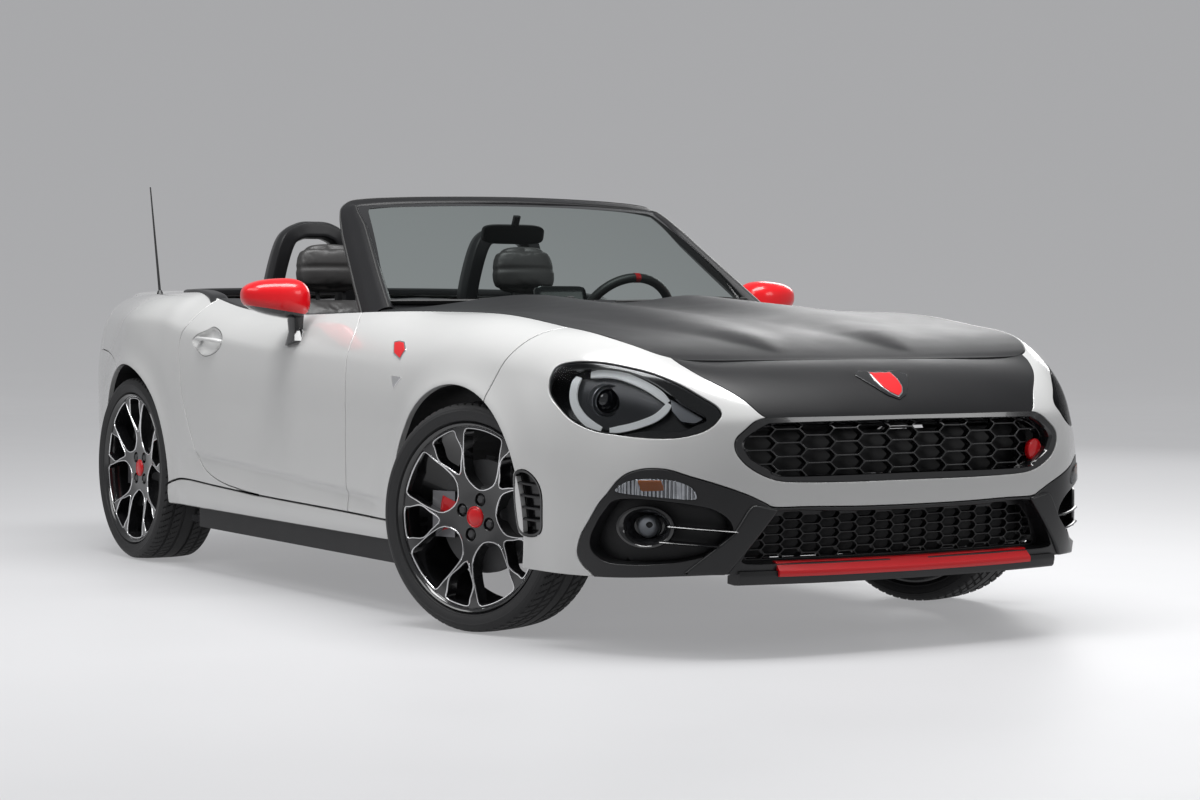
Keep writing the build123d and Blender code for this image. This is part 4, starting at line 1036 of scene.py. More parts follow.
    def build_sills(self, end: float) -> None:
        """Builds the painted sills under the lower crease, from the front arch to the rear one."""
        start = self.beside(wheel_arch(FRONT_AXLE_Y, -6.5, 117.5))[0, 0]
        s = np.linspace(start, end, 90)
        points, normals = self.side.at(np.stack([s, 0 * s], axis=-1))
        level = unit(normals * (1, 1, 0))
        drop = points[:, 2:] - 4 - self.sill_foot
        rows = ((24, 0), (4, 0), (1.5, 0.03), (0.5, 0.12), (0, 0.4), (2, 0.75), (5, 0.96), (9, 1.0), (40, 1.0))
        grid = array([points - inset * level - (0, 0, 4) - share * drop * (0, 0, 1) for inset, share in rows])
        shape = joined([net(grid), fan(grid[:, 0]), fan(grid[::-1, -1])])
        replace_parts(pair("sill_skin", shape, PEARL, 30)[0], "side_sills")

    def build_rear(self) -> None:
        """Builds the rear bumper with its lamp openings."""
        top, side = self.top, self.side
        split = self.beside(spline(self.tail_line, 6))
        arch = self.beside(wheel_arch(REAR_AXLE_Y, -11.0, 68.5))
        diffuser = self.front(spline(self.diffuser, 6), rear=True)
        bumper = [self.along(split[-1, 0], self.end, top), self.front([(0, 345)], True) * (0, 1) + (self.end, 0),
                  diffuser, self.along(diffuser[-1, 0], arch[0, 0], 0.0), arch, split]
        lamp = rounded(self.front(spline(self.tail_lamp, 5, closed=True), True), 5, 8)
        shape = side.patch([self.loop(bumper), lamp], self.step, self.shut)
        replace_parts(mesh_object("rear_bumper_skin", shape.whole(), PEARL), "rear_bumper")

    def build_lids(self) -> None:
        """Builds the bonnet, the deck round the boot, and the boot lid."""
        edge = self.edge[:, :2]
        front = edge[(edge[:, 1] < -1779) & (edge[:, 0] < 470)]
        side = edge[(edge[:, 0] > 470) & (edge[:, 1] < -520)]
        corner = array([(735, -500), (722, -452), (700, -432), (674, -430)])
        x = np.linspace(674, 0, 30)
        back = np.stack([x, -600 + 170 * (x / 674) ** 2], axis=-1)
        half = np.vstack([front, side, corner, back[1:]])
        shape = self.bonnet_top.patch([rounded(mirrored(half), 6, 9)], self.step, self.shut)
        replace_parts(mesh_object("bonnet_skin", shape, MATTE, body="bonnet"), "bonnet")
        outer = edge[edge[:, 1] > self.deck_start]
        outer = mirrored(np.vstack([[(0, self.deck_start)], [(outer[0, 0], self.deck_start)], outer]))
        hole = rounded(mirrored(spline(self.boot, 6)), 10, 9)
        shape = self.deck_top.patch([rounded(outer, 5, 10), hole], self.step + 3, self.shut)
        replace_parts(mesh_object("rear_deck_skin", shape, PEARL), "rear_deck")
        shape = self.deck_top.patch([hole], self.step + 5, self.shut)
        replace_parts(mesh_object("boot_lid_skin", shape, PEARL, body="boot_lid"), "boot_lid")


# ---- the studio ---------------------------------------------------------------------------------
@dataclass
class Studio:
    """A pale floor, a plain sky, four soft lamps and the camera."""

    camera_place: tuple = (-4.297, -7.497, 0.898)
    azimuth: float = -31.121
    elevation: float = 2.076
    roll: float = 0.197
    lens: float = 81.39
    shift: tuple = (0.0171, -0.005)
    sky: float = 0.32
    glow: float = 0.95
    floor_reach: float = 15.0
    floor_bend: float = 7.0
    lamps: tuple = (
        ("key", (-5.2, -0.5, 5.0), (6.5, 2.0), 140.0), ("fill", (4.5, -7.0, 3.6), (3.0, 2.0), 75.0),
        ("top", (-0.4, -1.4, 5.0), (5.0, 2.0), 400.0), ("back", (6.0, 4.0, 3.4), (4.0, 2.2), 110.0),
    )

    def build(self) -> None:
        """Builds the camera, lamps, floor and world."""
        self.build_camera()
        self.build_floor()
        self.build_lamps()
        bpy.context.scene.view_settings.view_transform = "Standard"

    def build_camera(self) -> None:
        """Builds the camera from its place and angles."""
        a, e, r = (math.radians(v) for v in (self.azimuth, self.elevation, self.roll))
        ahead = -array((math.sin(a) * math.cos(e), -math.cos(a) * math.cos(e), math.sin(e)))
        right = unit(np.cross(ahead, (0, 0, 1)))
        up = np.cross(right, ahead)
        right, up = right * math.cos(r) + up * math.sin(r), up * math.cos(r) - right * math.sin(r)
        data = bpy.data.cameras.new("camera")
        data.lens, data.sensor_width = self.lens, 36.0
        data.shift_x, data.shift_y = self.shift
        camera = bpy.data.objects.new("camera", data)
        matrix = np.eye(4)
        matrix[:3, 0], matrix[:3, 1], matrix[:3, 2], matrix[:3, 3] = right, up, -ahead, self.camera_place
        camera.matrix_world = Matrix(matrix.tolist())
        bpy.context.scene.collection.objects.link(camera)
        bpy.context.scene.camera = camera

    def build_floor(self) -> None:
        """Builds a pale round floor that rolls up into a wall: a quarter circle turned about Z."""
        a = np.linspace(0.0, math.pi / 2, 14)
        r = np.concatenate([[0.02, 4.0, 9.0, 14.0], self.floor_reach + self.floor_bend * np.sin(a)])
        z = np.concatenate([np.zeros(4), self.floor_bend - self.floor_bend * np.cos(a)])
        turns = np.linspace(0, 2 * math.pi, 97)[:-1, None]
        grid = np.stack([r * np.cos(turns), r * np.sin(turns), np.broadcast_to(z, (96, len(z)))], axis=-1)
        shape = net(grid, wrap_u=True)
        mesh = bpy.data.meshes.new("floor")
        mesh.from_pydata(shape.points.tolist(), [], shape.quads.tolist())
        mesh.polygons.foreach_set("use_smooth", np.ones(len(mesh.polygons), bool))
        finish = Finish("floor_paint", (0.31, 0.31, 0.316), 0.5, mottle=0.02, mottle_scale=2.0, spread=0.05,
                        scale=40, relief=0.02)
        mesh.materials.append(self.glowing(finish.material()))
        floor = bpy.data.objects.new("floor", mesh)
        bpy.context.scene.collection.objects.link(floor)

    def glowing(self, material: bpy.types.Material) -> bpy.types.Material:
        """Lets the floor glow where it is seen: glow x the largest of camera, glossy and transmission ray."""
        tree = material.node_tree
        link = tree.links.new
        sight = add_node(tree, "LightPath")
        seen = sight.outputs["Is Camera Ray"]
        for name in ("Is Glossy Ray", "Is Transmission Ray"):
            either = add_node(tree, "Math", operation="MAXIMUM")
            link(seen, either.inputs[0])
            link(sight.outputs[name], either.inputs[1])
            seen = either.outputs[0]
        share = add_node(tree, "Math", {1: self.glow}, operation="MULTIPLY")
        link(seen, share.inputs[0])
        link(share.outputs[0], tree.nodes["Principled BSDF"].inputs["Emission Strength"])
        return material

    def build_lamps(self) -> None:
        """Builds the world's even light and the soft lamps."""
        world = bpy.data.worlds.new("studio")
        world.use_nodes = True
        background = world.node_tree.nodes["Background"]
        background.inputs["Color"].default_value = (0.96, 0.98, 1.0, 1)
        background.inputs["Strength"].default_value = self.sky
        bpy.context.scene.world = world
        for name, place, size, power in self.lamps:
            data = bpy.data.lights.new(name, "AREA")
            data.shape, data.size, data.size_y = "RECTANGLE", *size
            data.energy = power
            lamp = bpy.data.objects.new(name, data)
            aim = Vector((0, 0, 0.5)) - Vector(place)
            lamp.location = place
            lamp.rotation_euler = aim.to_track_quat("-Z", "Y").to_euler()
            bpy.context.scene.collection.objects.link(lamp)


# ---- wheels -------------------------------------------------------------------------------------
@dataclass
class Wheel:
    """One wheel with its tyre, brake disc, caliper, lugs and cap, built about its own X axis.

    The face dishes in to the hub: x = hub + (lip - hub) w^2 (3 - 2w) with w from the hub to the lip.
    """

    end: str
    hand: str
    phase: float = 11.5
    face_hub: float = 66.0
    face_lip: float = 85.0
    face_radius: float = 242.0
    tyre_radius: float = 307.8
    front_track: float = 728.0
    rear_track: float = 751.5
    steer_offset: float = 20.0
    spokes: int = 5
    lugs: int = 4
    lug_turn: float = 7.9
    lug_radius: float = 50.0
    caliper_radius: float = 120.0
    wide: tuple = ((-66, 224), (-65, 190), (-62, 142), (-48, 98), (0, 74), (48, 98), (61, 142), (65, 190),
                   (66, 224), (44, 233), (0, 237), (-44, 233))
    narrow: tuple = ((0, 122), (24, 150), (44, 178), (42, 214), (40, 233), (0, 237), (-40, 233), (-42, 214),
                     (-44, 178), (-24, 150))
    sidewall: tuple = ((-86, 252), (-92, 256), (-98, 263), (-102, 276), (-102, 287), (-97, 297), (-90, 303))

    def placed(self, shape: Shape) -> Shape:
        """Returns a shape moved from the wheel's own axes to its place on the car."""
        front = self.end == "front"
        shape = shape.moved(x=self.steer_offset if front else 0.0)
        if self.hand == "right":
            shape = shape.other_side()
        if front:
            shape = shape.turned(turn(PARKED_TURN, "Z"))
        side = dict(SIDES)[self.hand] * (self.front_track if front else self.rear_track)
        return shape.moved(side, FRONT_AXLE_Y if front else REAR_AXLE_Y, AXLE_Z)

    def piece(self, name: str, shape: Shape, finish: Finish, body: str = "", crease: float = 35.0):
        """Makes a piece that rides on the wheel, or on the body named."""
        ride = body or f"wheel_{self.end}_{self.hand}"
        return mesh_object(f"{name}_{self.end}_{self.hand}", self.placed(shape), finish, crease, ride)

    def build(self) -> None:
        """Builds the wheel's pieces."""
        spin = turn(self.phase, "X")
        face, edges = self.face()
        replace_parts(self.piece("wheel_face", face.turned(spin), WHEEL), f"wheel_{self.end}_{self.hand}")
        # The bright lines along the windows are painted highlights on the windows' rounded edges.
        self.piece("wheel_edge_highlights", edges.turned(spin), EDGE)
        self.piece("wheel_barrel", lathe((
            (-95, 236), (-95, 250), (-88, 251), (-80, 240), (60, 242), (82, 246), (87, 252), (94, 253.5),
            (97, 250.5), (94, 245), (86, 240.5), (60, 234), (-80, 230), (-93, 232), (-95, 236)), 120), WHEEL)
        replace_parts(self.piece("tyre_rubber", self.tyre(), RUBBER, crease=24), f"tyre_{self.end}_{self.hand}")
        hat = ((12, 30), (12, 152), (18, 152), (18, 150), (22, 150), (22, 152), (28, 152), (28, 84), (30, 82),
               (50, 78), (52, 74), (52, 20), (12, 30))
        # The disc takes the dark coated steel, much darker than bare steel: painted shade for the shadow it sits in
        # behind the spokes.
        self.piece("brake_disc", lathe(hat, 96), DARK_STEEL)
        cap = lathe(((56, 30), (60, 30), (68, 28.5), (70, 26), (69, 24.2), (68, 24), (68, 23.8), (70, 22),
                     (71.5, 12), (72, 0.01)), 48)
        self.piece("hub_cap", cap, RED, crease=60)
        nut = lathe(((50, 9), (50, 13), (62, 13), (64, 11), (66, 9.5), (66, 0.01)), 6)
        step = 360 / self.lugs
        nuts = [nut.moved(z=self.lug_radius).turned(turn(self.phase + self.lug_turn + step * k, "X"))
                for k in range(self.lugs)]
        self.piece("lugs", joined(nuts), DARK_STEEL)
        a = np.radians(np.linspace(-18, 20, 16))
        out = np.stack([0 * a, np.cos(a), np.sin(a)], axis=-1)
        path = self.caliper_radius * out + (13.0, 0, 0)
        block = [(-27, -22), (27, -22), (28, -14), (28, 26), (20, 34), (-20, 34), (-28, 26), (-28, -14)]
        body = f"knuckle_{self.hand}" if self.end == "front" else "chassis"
        self.piece("caliper", sweep(path, rounded(block, 3, 5), up=out), RED, body)

    def depth(self, r: np.ndarray) -> np.ndarray:
        """Returns the face's x at a radius."""
        w = np.clip((r - 62) / (self.face_radius - 72), 0, 1)
        return self.face_hub + (self.face_lip - self.face_hub) * w * w * (3 - 2 * w)

    def face(self) -> tuple[Shape, Shape]:
        """Returns the spoked face and bright metal lines along its windows, painted highlights where light catches
        the rounded window edges.
        """
        g = np.arange(-252.0, 253.0, 4.0)
        u, w = np.meshgrid(g, g, indexing="ij")
        surface = Surface(np.stack([self.depth(np.hypot(u, w)), u, w], axis=-1), g, g)
        loops = [circle(self.face_radius, 180)]
        pitch = 360 / self.spokes
        for k in range(self.spokes):
            for shape, extra in ((self.wide, 0), (self.narrow, pitch / 2)):
                matrix = turn(pitch * k + extra, "X")[1:, 1:]
                loops.append(rounded(spline(array(shape) @ matrix.T, 3, closed=True), 3, 4.5))
        windows = len(loops)
        for k in range(self.lugs):
            a = math.radians(self.lug_turn + 360 / self.lugs * k)
            loops.append(circle(17.5, 28) + array((-self.lug_radius * math.sin(a), self.lug_radius * math.cos(a))))
        face = surface.patch(loops, 9.0, Rim(2.6, 40.0, 0.0))
        lines = []
        for loop in loops[1:windows]:
            points, normals = surface.at(loop)
            lines.append(sweep(points - 0.4 * normals, circle(2.1, 6), up=normals, closed=True))
        return face, joined(lines)

    def tyre(self) -> Shape:
        """Returns the tyre: its profile turned about the axis, with grooves, slits and sidewall rings.

        A groove lowers the tread where |x - x0| < 4; a slit does where the angle, swept back with
        |x|, is near a whole number of 72nds of a turn; the rings are narrow bells on the sidewall.
        """
        side = spline(self.sidewall, 6)
        crown = np.linspace(-88, 88, 67)
        tread = np.stack([crown, self.tyre_radius - 3.6 * (np.abs(crown) / 88) ** 3], axis=-1)
        flip = array((-1, 1))
        profile = np.vstack([side[:-1], tread, (side * flip)[::-1][1:]])
        inner = np.stack([np.linspace(84, -84, 5), np.full(5, 246.0)], axis=-1)
        profile = np.vstack([profile, inner, profile[:1]])
        turns = np.arange(504) / 504
        x, r = profile[:, :1], profile[:, 1:]
        on_tread = r > 300
        groove = np.zeros_like(x)
        for x0 in (-58, -22, 22, 58):
            groove = np.maximum(groove, np.clip((4.6 - np.abs(x - x0)) / 1.6, 0, 1))
        phase = (turns[None] * 72 + np.abs(x) * 0.022 * np.sign(x + 0.1)) % 1
        slit = np.clip((0.10 - np.abs(phase - 0.5)) * 30, 0, 1) * (np.abs(x) > 27) * (np.abs(x) < 101)
        low = np.where(on_tread, np.maximum(groove, 0.8 * slit), 0.0)
        bells = ((259, 2.2, 2.0), (284, 1.2, 1.4), (290, 1.0, 1.0))
        rings = sum(h * np.exp(-(((r - r0) / w) ** 2)) for r0, h, w in bells)
        ribs = 0.5 * (np.sin(turns[None] * 2 * math.pi * 168) > 0) * (np.abs(r - 287) < 2.2)
        out = (rings + ribs) * (np.abs(x) > 88) * (r > 253) * np.sign(x)
        radius = r - 6.5 * low
        a = turns[None] * 2 * math.pi
        grid = np.stack([x + out + 0 * a, radius * np.sin(a), radius * np.cos(a)], axis=-1)
        return net(grid, wrap_v=True).welded(0.001)


# ---- front end ----------------------------------------------------------------------------------
def both_sides(side: Surface, reach: float) -> Surface:
    """Returns the side and its mirror image as one surface across the car, up to s = reach."""
    n = int(np.searchsorted(side.s, reach))
    points = np.concatenate([side.points[n:0:-1] * MIRROR, side.points[:n]])
    return Surface(points, np.concatenate([-side.s[n:0:-1], side.s[:n]]), side.t)


def clipped(polygon: Line, window: Line) -> np.ndarray:
    """Returns the part of a polygon inside a convex counter-clockwise window."""
    result = [array(p) for p in polygon]
    for a, b in zip(window, np.roll(window, -1, axis=0)):
        side = [np.cross(b - a, p - a) for p in result]
        kept = []
        for k, p in enumerate(result):
            q, f, g = result[k - 1], side[k - 1], side[k]
            if (f > 0) != (g > 0):
                kept.append(q + (p - q) * f / (f - g))
            if g > 0:
                kept.append(p)
        result = kept
        if not result:
            break
    return array(result).reshape(-1, 2)


def honeycomb(window: Line, centre: tuple, pitch: tuple, wall: float) -> list[np.ndarray]:
    """Returns stretched hexagons, in columns offset by half a row, cut off by a convex window."""
    half, tall = pitch[0] * 0.62 - wall, pitch[1] / 2 - wall / 2
    flat = pitch[0] * 0.38
    cell = array([(-half, 0), (-flat, -tall), (flat, -tall), (half, 0), (flat, tall), (-flat, tall)])
    holes = []
    for i in range(-12, 13):
        for j in range(-6, 7):
            place = array((centre[0] + i * pitch[0], centre[1] + (j + 0.5 * (i % 2)) * pitch[1]))
            hole = clipped(cell + place, window)
            if len(hole) > 2 and np.ptp(hole[:, 0]) > 12 and np.ptp(hole[:, 1]) > 7:
                holes.append(rounded(hole, 1.6, 5.0))
    return holes


def collar(surface: Surface, rings: list, count: int = 240) -> Shape:
    """Returns a band between closed lines, each at its own depth below the surface.

    Args:
        surface: the surface they lie on.
        rings: (line, depth) pairs from the outermost inward; each starts where it is highest.
        count: the number of points around.

    Returns:
        The band, facing the opening.
    """
    grid = []
    for line, depth in rings:
        loop = spaced(line, 1.0, closed=True)
        x, y = loop.T
        if (x * np.roll(y, -1) - np.roll(x, -1) * y).sum() < 0:
            loop = loop[::-1]
        middle = middle_of(loop)
        start = np.where(loop[:, 1] > middle[1], np.abs(loop[:, 0] - middle[0]), np.inf).argmin()
        loop = np.roll(loop, -start, axis=0)
        loop = loop[np.linspace(0, len(loop), count, endpoint=False).astype(int)]
        points, normals = surface.at(loop)
        grid.append(points - depth * normals)
    return net(array(grid), wrap_v=True).inside_out()


def facing(direction: Line) -> np.ndarray:
    """Returns the turn that takes the X axis to a direction and keeps Z about upright."""
    x = unit(array(direction))
    y = unit(np.cross((0, 0, 1), x))
    return np.stack([x, y, np.cross(x, y)], axis=-1)


@dataclass
class FrontEnd:
    """The grilles, corner vents with their lamps, lip, splitter, headlamps and badges."""

    side: Surface
    work: Bodywork
    mesh: tuple = ((495, 524), (478, 550), (424, 579), (375, 585), (0, 588))
    mesh_low: tuple = ((0, 450), (371, 450), (421, 467), (471, 495))
    strut: tuple = ((473, 384), (402, 371), (532, 207), (628, 209), (524, 312), (487, 372))
    turn_lamp: tuple = ((747, 412), (738, 430), (718, 443), (684, 446), (640, 441), (612, 424), (604, 400),
                        (620, 396), (656, 399), (705, 404))
    amber: tuple = ((712, 442), (671, 443), (666, 418), (706, 415))
    fog: tuple = (700, 325)
    fog_oval: tuple = (1.0, 1.26, 0.88)
    projector: tuple = (750, 647)
    inner_lamp: tuple = (
        (755, 712), (728, 717), (699, 713), (677, 704), (654, 685), (632, 656), (615, 631), (576, 597), (598, 582),
        (632, 566), (688, 565), (724, 556), (747, 554), (769, 559), (789, 579), (802, 602), (810, 645), (806, 670),
        (793, 697), (771, 710),
    )
    guides: tuple = (
        ((771, 703), (783, 683), (792, 654), (794, 625), (789, 600), (779, 581), (764, 568)),
        ((750, 711), (726, 716), (703, 712), (683, 699), (665, 682), (651, 663), (642, 644)),
        ((640, 640), (657, 618), (675, 600), (695, 588), (716, 578), (735, 571), (751, 567)),
    )
    visor: tuple = ((634, 652), (612, 634), (580, 602), (600, 588), (628, 592), (640, 620))
    shield: tuple = ((0, 699), (20, 698), (35, 700), (38, 682), (33, 662), (20, 648), (0, 638))
    plate: tuple = ((0, 703), (60, 704), (84, 694), (66, 676), (48, 660), (30, 645), (0, 634))

    def __post_init__(self) -> None:
        """Makes the surface that spans both sides of the nose."""
        self.front = both_sides(self.side, 1500)

    def lines(self, points: Line) -> np.ndarray:
        """Returns (s, t) on the left side of a line seen from in front."""
        return self.front.find(points, (0, 2), (0.0, 1400.0))

    def symmetric(self, half: Line) -> np.ndarray:
        """Returns the closed line of a half line that runs from one middle point to the other."""
        st = self.lines(half)
        st[np.abs(array(half)[:, 0]) < 0.1, 0] = 0
        return mirrored(st)

    def place(self, x: float, z: float, depth: float) -> np.ndarray:
        """Returns the point at a depth below the skin."""
        points, normals = self.front.at(self.lines([(x, z)]))
        return points[0] - depth * normals[0]

    def build(self) -> None:
        """Builds the front end."""
        self.build_upper_grille()
        self.build_lower_grille()
        self.build_vents()
        self.build_lip()
        self.build_headlamps()
        self.build_badges()

    def build_upper_grille(self) -> None:
        """Builds the surround, the honeycomb and the towing cover."""
        outline = rounded(self.symmetric(spline(self.work.grille, 5)), 4, 7)
        half = np.vstack([spline(self.mesh[::-1], 5)[:-1], spline(self.mesh_low[::-1], 5)])
        opening = rounded(self.symmetric(half), 4, 7)
        surround = collar(self.front, [
            (outline, 3), (outline * (0.995, 1), 0.5), (opening * (1.02, 1), 2), (opening * (1.004, 1), 8),
            (opening, 20), (opening, 52),
        ], 300)
        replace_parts(mesh_object("grille_surround", surround, GLOSS, 30), "upper_grille")
        window = array(self.mesh_low[1:] + self.mesh[:-1])
        window = np.vstack([window, (window * (-1, 1))[::-1]])
        holes = [self.signed(h) for h in honeycomb(window, (0, 519), (88, 36), 4.0)]
        body = self.front.patch([opening * (1.01, 1), *holes], 30.0, Rim(1.2, 22.0, 0.0), depth=32.0)
        mesh_object("grille_honeycomb", body, GLOSS)
        mesh_object("grille_back", self.front.patch([opening], 40.0, self.work.shallow, depth=80.0), COARSE)
        cover = lathe(((-12, 0.01), (-12, 27), (0, 31), (3, 30), (4.5, 27.5), (3, 26), (5, 20), (5.5, 0.01)), 48)
        place = self.place(449, 495.5, 24)
        mesh_object("towing_cover", cover.turned(facing((0.28, -1, 0.02))).moved(*place), RED)

    def signed(self, hole: np.ndarray) -> np.ndarray:
        """Returns (s, t) of a closed line that may lie on both sides of the middle."""
        flip = np.where(hole[:, :1] < 0, -1.0, 1.0)
        st = self.lines(np.abs(hole))
        return st * np.hstack([flip, np.ones_like(flip)])

    def build_lower_grille(self) -> None:
        """Builds the lower honeycomb in its opening."""
        outline = rounded(self.symmetric(spline(self.work.intake, 5)), 4, 7)
        walls = collar(self.front, [(outline, 4), (outline, 30), (outline * (0.99, 1), 62)], 300)
        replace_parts(mesh_object("intake_walls", walls, SATIN, 30), "lower_grille")
        window = array([(-476, 238), (476, 238), (448, 308), (404, 358), (-404, 358), (-448, 308)])
        holes = [self.signed(h) for h in honeycomb(window, (0, 300), (56, 25), 3.0)]
        body = self.front.patch([outline * (1.01, 1), *holes], 30.0, Rim(1.0, 18.0, 0.0), depth=44.0)
        mesh_object("intake_honeycomb", body, SATIN)
        mesh_object("intake_back", self.front.patch([outline], 40.0, self.work.shallow, depth=85.0), COARSE)

    def build_vents(self) -> None:
        """Builds the vent recesses with blades, fog lamps and turn lamps, and the arch slots."""
        vent = rounded(self.lines(spline(self.work.vent, 4, closed=True)), 8, 7)
        recess = joined([collar(self.front, [(vent, 5), (vent, 46)], 200),
                         self.front.patch([vent], 18.0, self.work.shallow, depth=45.0)])
        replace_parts(pair("vent_recess", recess, COARSE)[0], "corner_vents")
        strut = rounded(self.lines(self.strut), 14, 8)
        pair("vent_strut", self.front.patch([strut], 14.0, Rim(7.0, 16.0, 0.0), depth=-7.0), SATIN)
        for z0, z1, start, end in ((329, 316, 658, 512), (290, 280, 672, 548)):
            x = np.linspace(start, end, 24)
            points, normals = self.front.at(self.lines(np.stack([x, np.linspace(z0, z1, 24)], axis=-1)))
            blade = rounded([(-3.2, -18), (3.2, -18), (3.6, 12), (0, 17), (-3.6, 12)], 2, 3)
            pair(f"vent_blade_{z0}", sweep(points - 9 * normals, blade, up=normals), GLOSS)
        out = facing(unit(self.front.at(self.lines([self.fog]))[1][0] * (1, 1, 0)))
        place = self.place(*self.fog, 16)
        ring = lathe(((-34, 50), (-2, 56), (6, 61), (11, 59), (12, 54), (7, 48), (-10, 41), (-30, 31),
                      (-31, 0.01)), 72)
        pair("fog_bezel", ring.turned(out @ np.diag(self.fog_oval)).moved(*place), GLOSS)
        bowl = lathe(((-29, 30), (-24, 29), (-26, 20), (-29, 10), (-29.5, 0.01)), 48)
        pair("fog_bowl", bowl.turned(out).moved(*place), LAMP_GREY)
        glass = lathe(((-24, 31), (-20, 28), (-16, 18), (-14.5, 8), (-14, 0.01)), 48)
        pair("fog_lens", glass.turned(out).moved(*place), COVER)
        lamp = rounded(self.lines(spline(self.turn_lamp, 4, closed=True)), 4, 6)
        amber = rounded(self.lines(self.amber), 5, 4)
        for name, line, step, rim, lift, finish in (
            ("body", lamp, 8.0, Rim(1.5, 10.0, 0.0), 0.6, CRYSTAL),
            ("bulb", amber, 6.0, Rim(1.2, 4.0, 0.0), 1.4, AMBER),
            ("lens", lamp, 8.0, Rim(1.5, 10.0, -1.0), 3.2, COVER),
        ):
            pair(f"turn_lamp_{name}", self.front.patch([line], step, rim, depth=-lift), finish)
        slot = rounded(self.work.beside(spline(self.work.slot, 4, closed=True)), 5, 7)
        walls = [(slot, 1.5), (slot, -1.5), (self.inset(slot, 5), -1.0), (self.inset(slot, 6), 26)]
        back = self.side.patch([self.inset(slot, 5)], 14.0, self.work.shallow, depth=25.0)
        pair("arch_slot", joined([collar(self.side, walls, 140), back]), GLOSS)
        section = rounded([(-2.5, -9), (2.5, -9), (2.5, 7), (-2.5, 7)], 1.5, 3)
        for z in (325, 355, 385, 415):
            points, normals = self.side.at(self.work.beside([(-1478, z + 6), (-1527, z + 2), (-1576, z)]))
            pair(f"arch_slot_bar_{z}", sweep(points - 7 * normals, section, up=normals), SATIN)

    def inset(self, loop: np.ndarray, by: float) -> np.ndarray:
        """Returns a closed line drawn in toward its middle by a distance on its longer reach."""
        return drawn_in(loop, 1 - by / (np.ptp(loop, axis=0) / 2))

    def ledge(self, reach: float, rows: list, step: float = 10.0) -> Shape:
        """Returns a bar along the foot of the nose; rows are (t, depth, dz) and close on themselves."""
        s = np.linspace(-reach, reach, int(2 * reach / step))
        grid = []
        for t, depth, dz in rows:
            points, normals = self.front.at(np.stack([s, np.full_like(s, t)], axis=-1))
            level = unit(normals * (1, 1, 0))
            grid.append(points - depth * level + (0, 0, dz))
        grid = array(grid)
        return joined([net(grid, wrap_u=True), fan(grid[:, 0]), fan(grid[::-1, -1])]).welded()

    def build_lip(self) -> None:
        """Builds the red lip over the black splitter."""
        end = self.lines([(505, 207)])[0, 0]
        rows = [(4, -8, 4), (1, -10, -2), (0, -10, -8), (0, -7, -22), (0, -2, -27), (0, 30, -30), (0, 80, -30),
                (0, 80, -10), (8, 12, 0)]
        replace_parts(mesh_object("splitter_blade", self.ledge(end, rows), SATIN, 30), "splitter")
        reach = self.lines([(402, 212)])[0, 0]
        rows = [(36, 22, 1), (33, 8, 2), (6, -16, 3), (2, -18, 0), (0, -17, -7), (0, 0, -7), (20, 24, 0)]
        mesh_object("red_lip", self.ledge(reach, rows), RED, 30)

    def build_headlamps(self) -> None:
        """Builds each headlamp's bowl, black border, light guides, projector and cover."""
        lamp = rounded(self.lines(spline(self.work.lamp, 5, closed=True)), 5, 7)
        inner = rounded(self.lines(spline(self.inner_lamp, 4, closed=True)), 4, 6)
        bowl = joined([collar(self.front, [(lamp, 4), (self.inset(lamp, 3), 70)], 200),
                       self.front.patch([self.inset(lamp, 3)], 22.0, self.work.shallow, depth=69.0)])
        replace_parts(pair("headlamp_bowl", bowl, LAMP_DARK)[0], "headlamps")
        pair("headlamp_border", self.front.patch([lamp, inner], 9.0, Rim(1.0, 9.0, 3.0), depth=3.0), GLOSS)
        pair("headlamp_cover", self.front.patch([lamp], 11.0, Rim(1.6, 8.0, 5.0), depth=0.6), COVER)
        flat = rounded([(-12, -3.5), (12, -3.5), (12, 3.5), (-12, 3.5)], 2.5, 2.5)
        guides = []
        for guide, width in zip(self.guides, (1.0, 1.0, 0.82)):
            line = self.lines(spline(guide, 6))
            points, normals = self.front.at(line)
            taper = np.interp(np.linspace(0, 1, len(line)), (0, 0.12, 0.85, 1), (0.75, 1, 0.9, 0.6))
            guides.append(sweep(points - 24 * normals, flat, up=normals, scale=width * taper))
        pair("light_guides", joined(guides), LIGHT)
        around = [g for guide in (self.guides[0][::-1], self.guides[1], self.guides[2]) for g in guide]
        ring = rounded(self.lines(around), 8, 6)
        hole = circle(44, 48) + self.lines([self.projector])[0]
        pair("headlamp_mask", self.front.patch([ring, hole], 10.0, Rim(2.0, 30.0, 0.0), depth=36.0), LAMP_MASK)
        visor = rounded(self.lines(self.visor), 5, 5)
        pair("headlamp_visor", self.front.patch([visor], 8.0, Rim(1.5, 14.0, 0.0), depth=20.0), LAMP_GREY)
        out = facing((0.30, -1, 0.0))
        place = self.place(*self.projector, 52)
        shell = lathe(((-30, 46), (14, 44), (16, 42), (14, 40), (6, 37), (6, 35), (12, 34), (13, 32.5), (11, 31),
                       (2, 30), (0, 28)), 60)
        pair("projector_shell", shell.turned(out).moved(*place), LAMP_GREY, 25)
        lens = lathe(((0, 30), (6, 28.5), (12, 24), (17, 16), (19, 8), (19.6, 0.01)), 48)
        pair("projector_lens", lens.turned(out).moved(*place), LENS)

    def build_badges(self) -> None:
        """Builds the blank nose badge."""
        outer = rounded(self.symmetric(self.plate), 4, 4)
        inner = rounded(self.symmetric(self.shield), 3, 4)
        for name, line, rim, lift, finish in (
            ("plate", outer, Rim(1.5, 5.0, 0.0), 3.0, GLOSS), ("rim", inner, Rim(1.2, 4.0, 0.0), 5.0, CHROME),
            ("field", self.inset(inner, 3.5), Rim(0.8, 3.0, 0.0), 6.0, RED),
        ):
            mesh_object(f"nose_badge_{name}", self.front.patch([line], 8.0, rim, depth=-lift), finish)


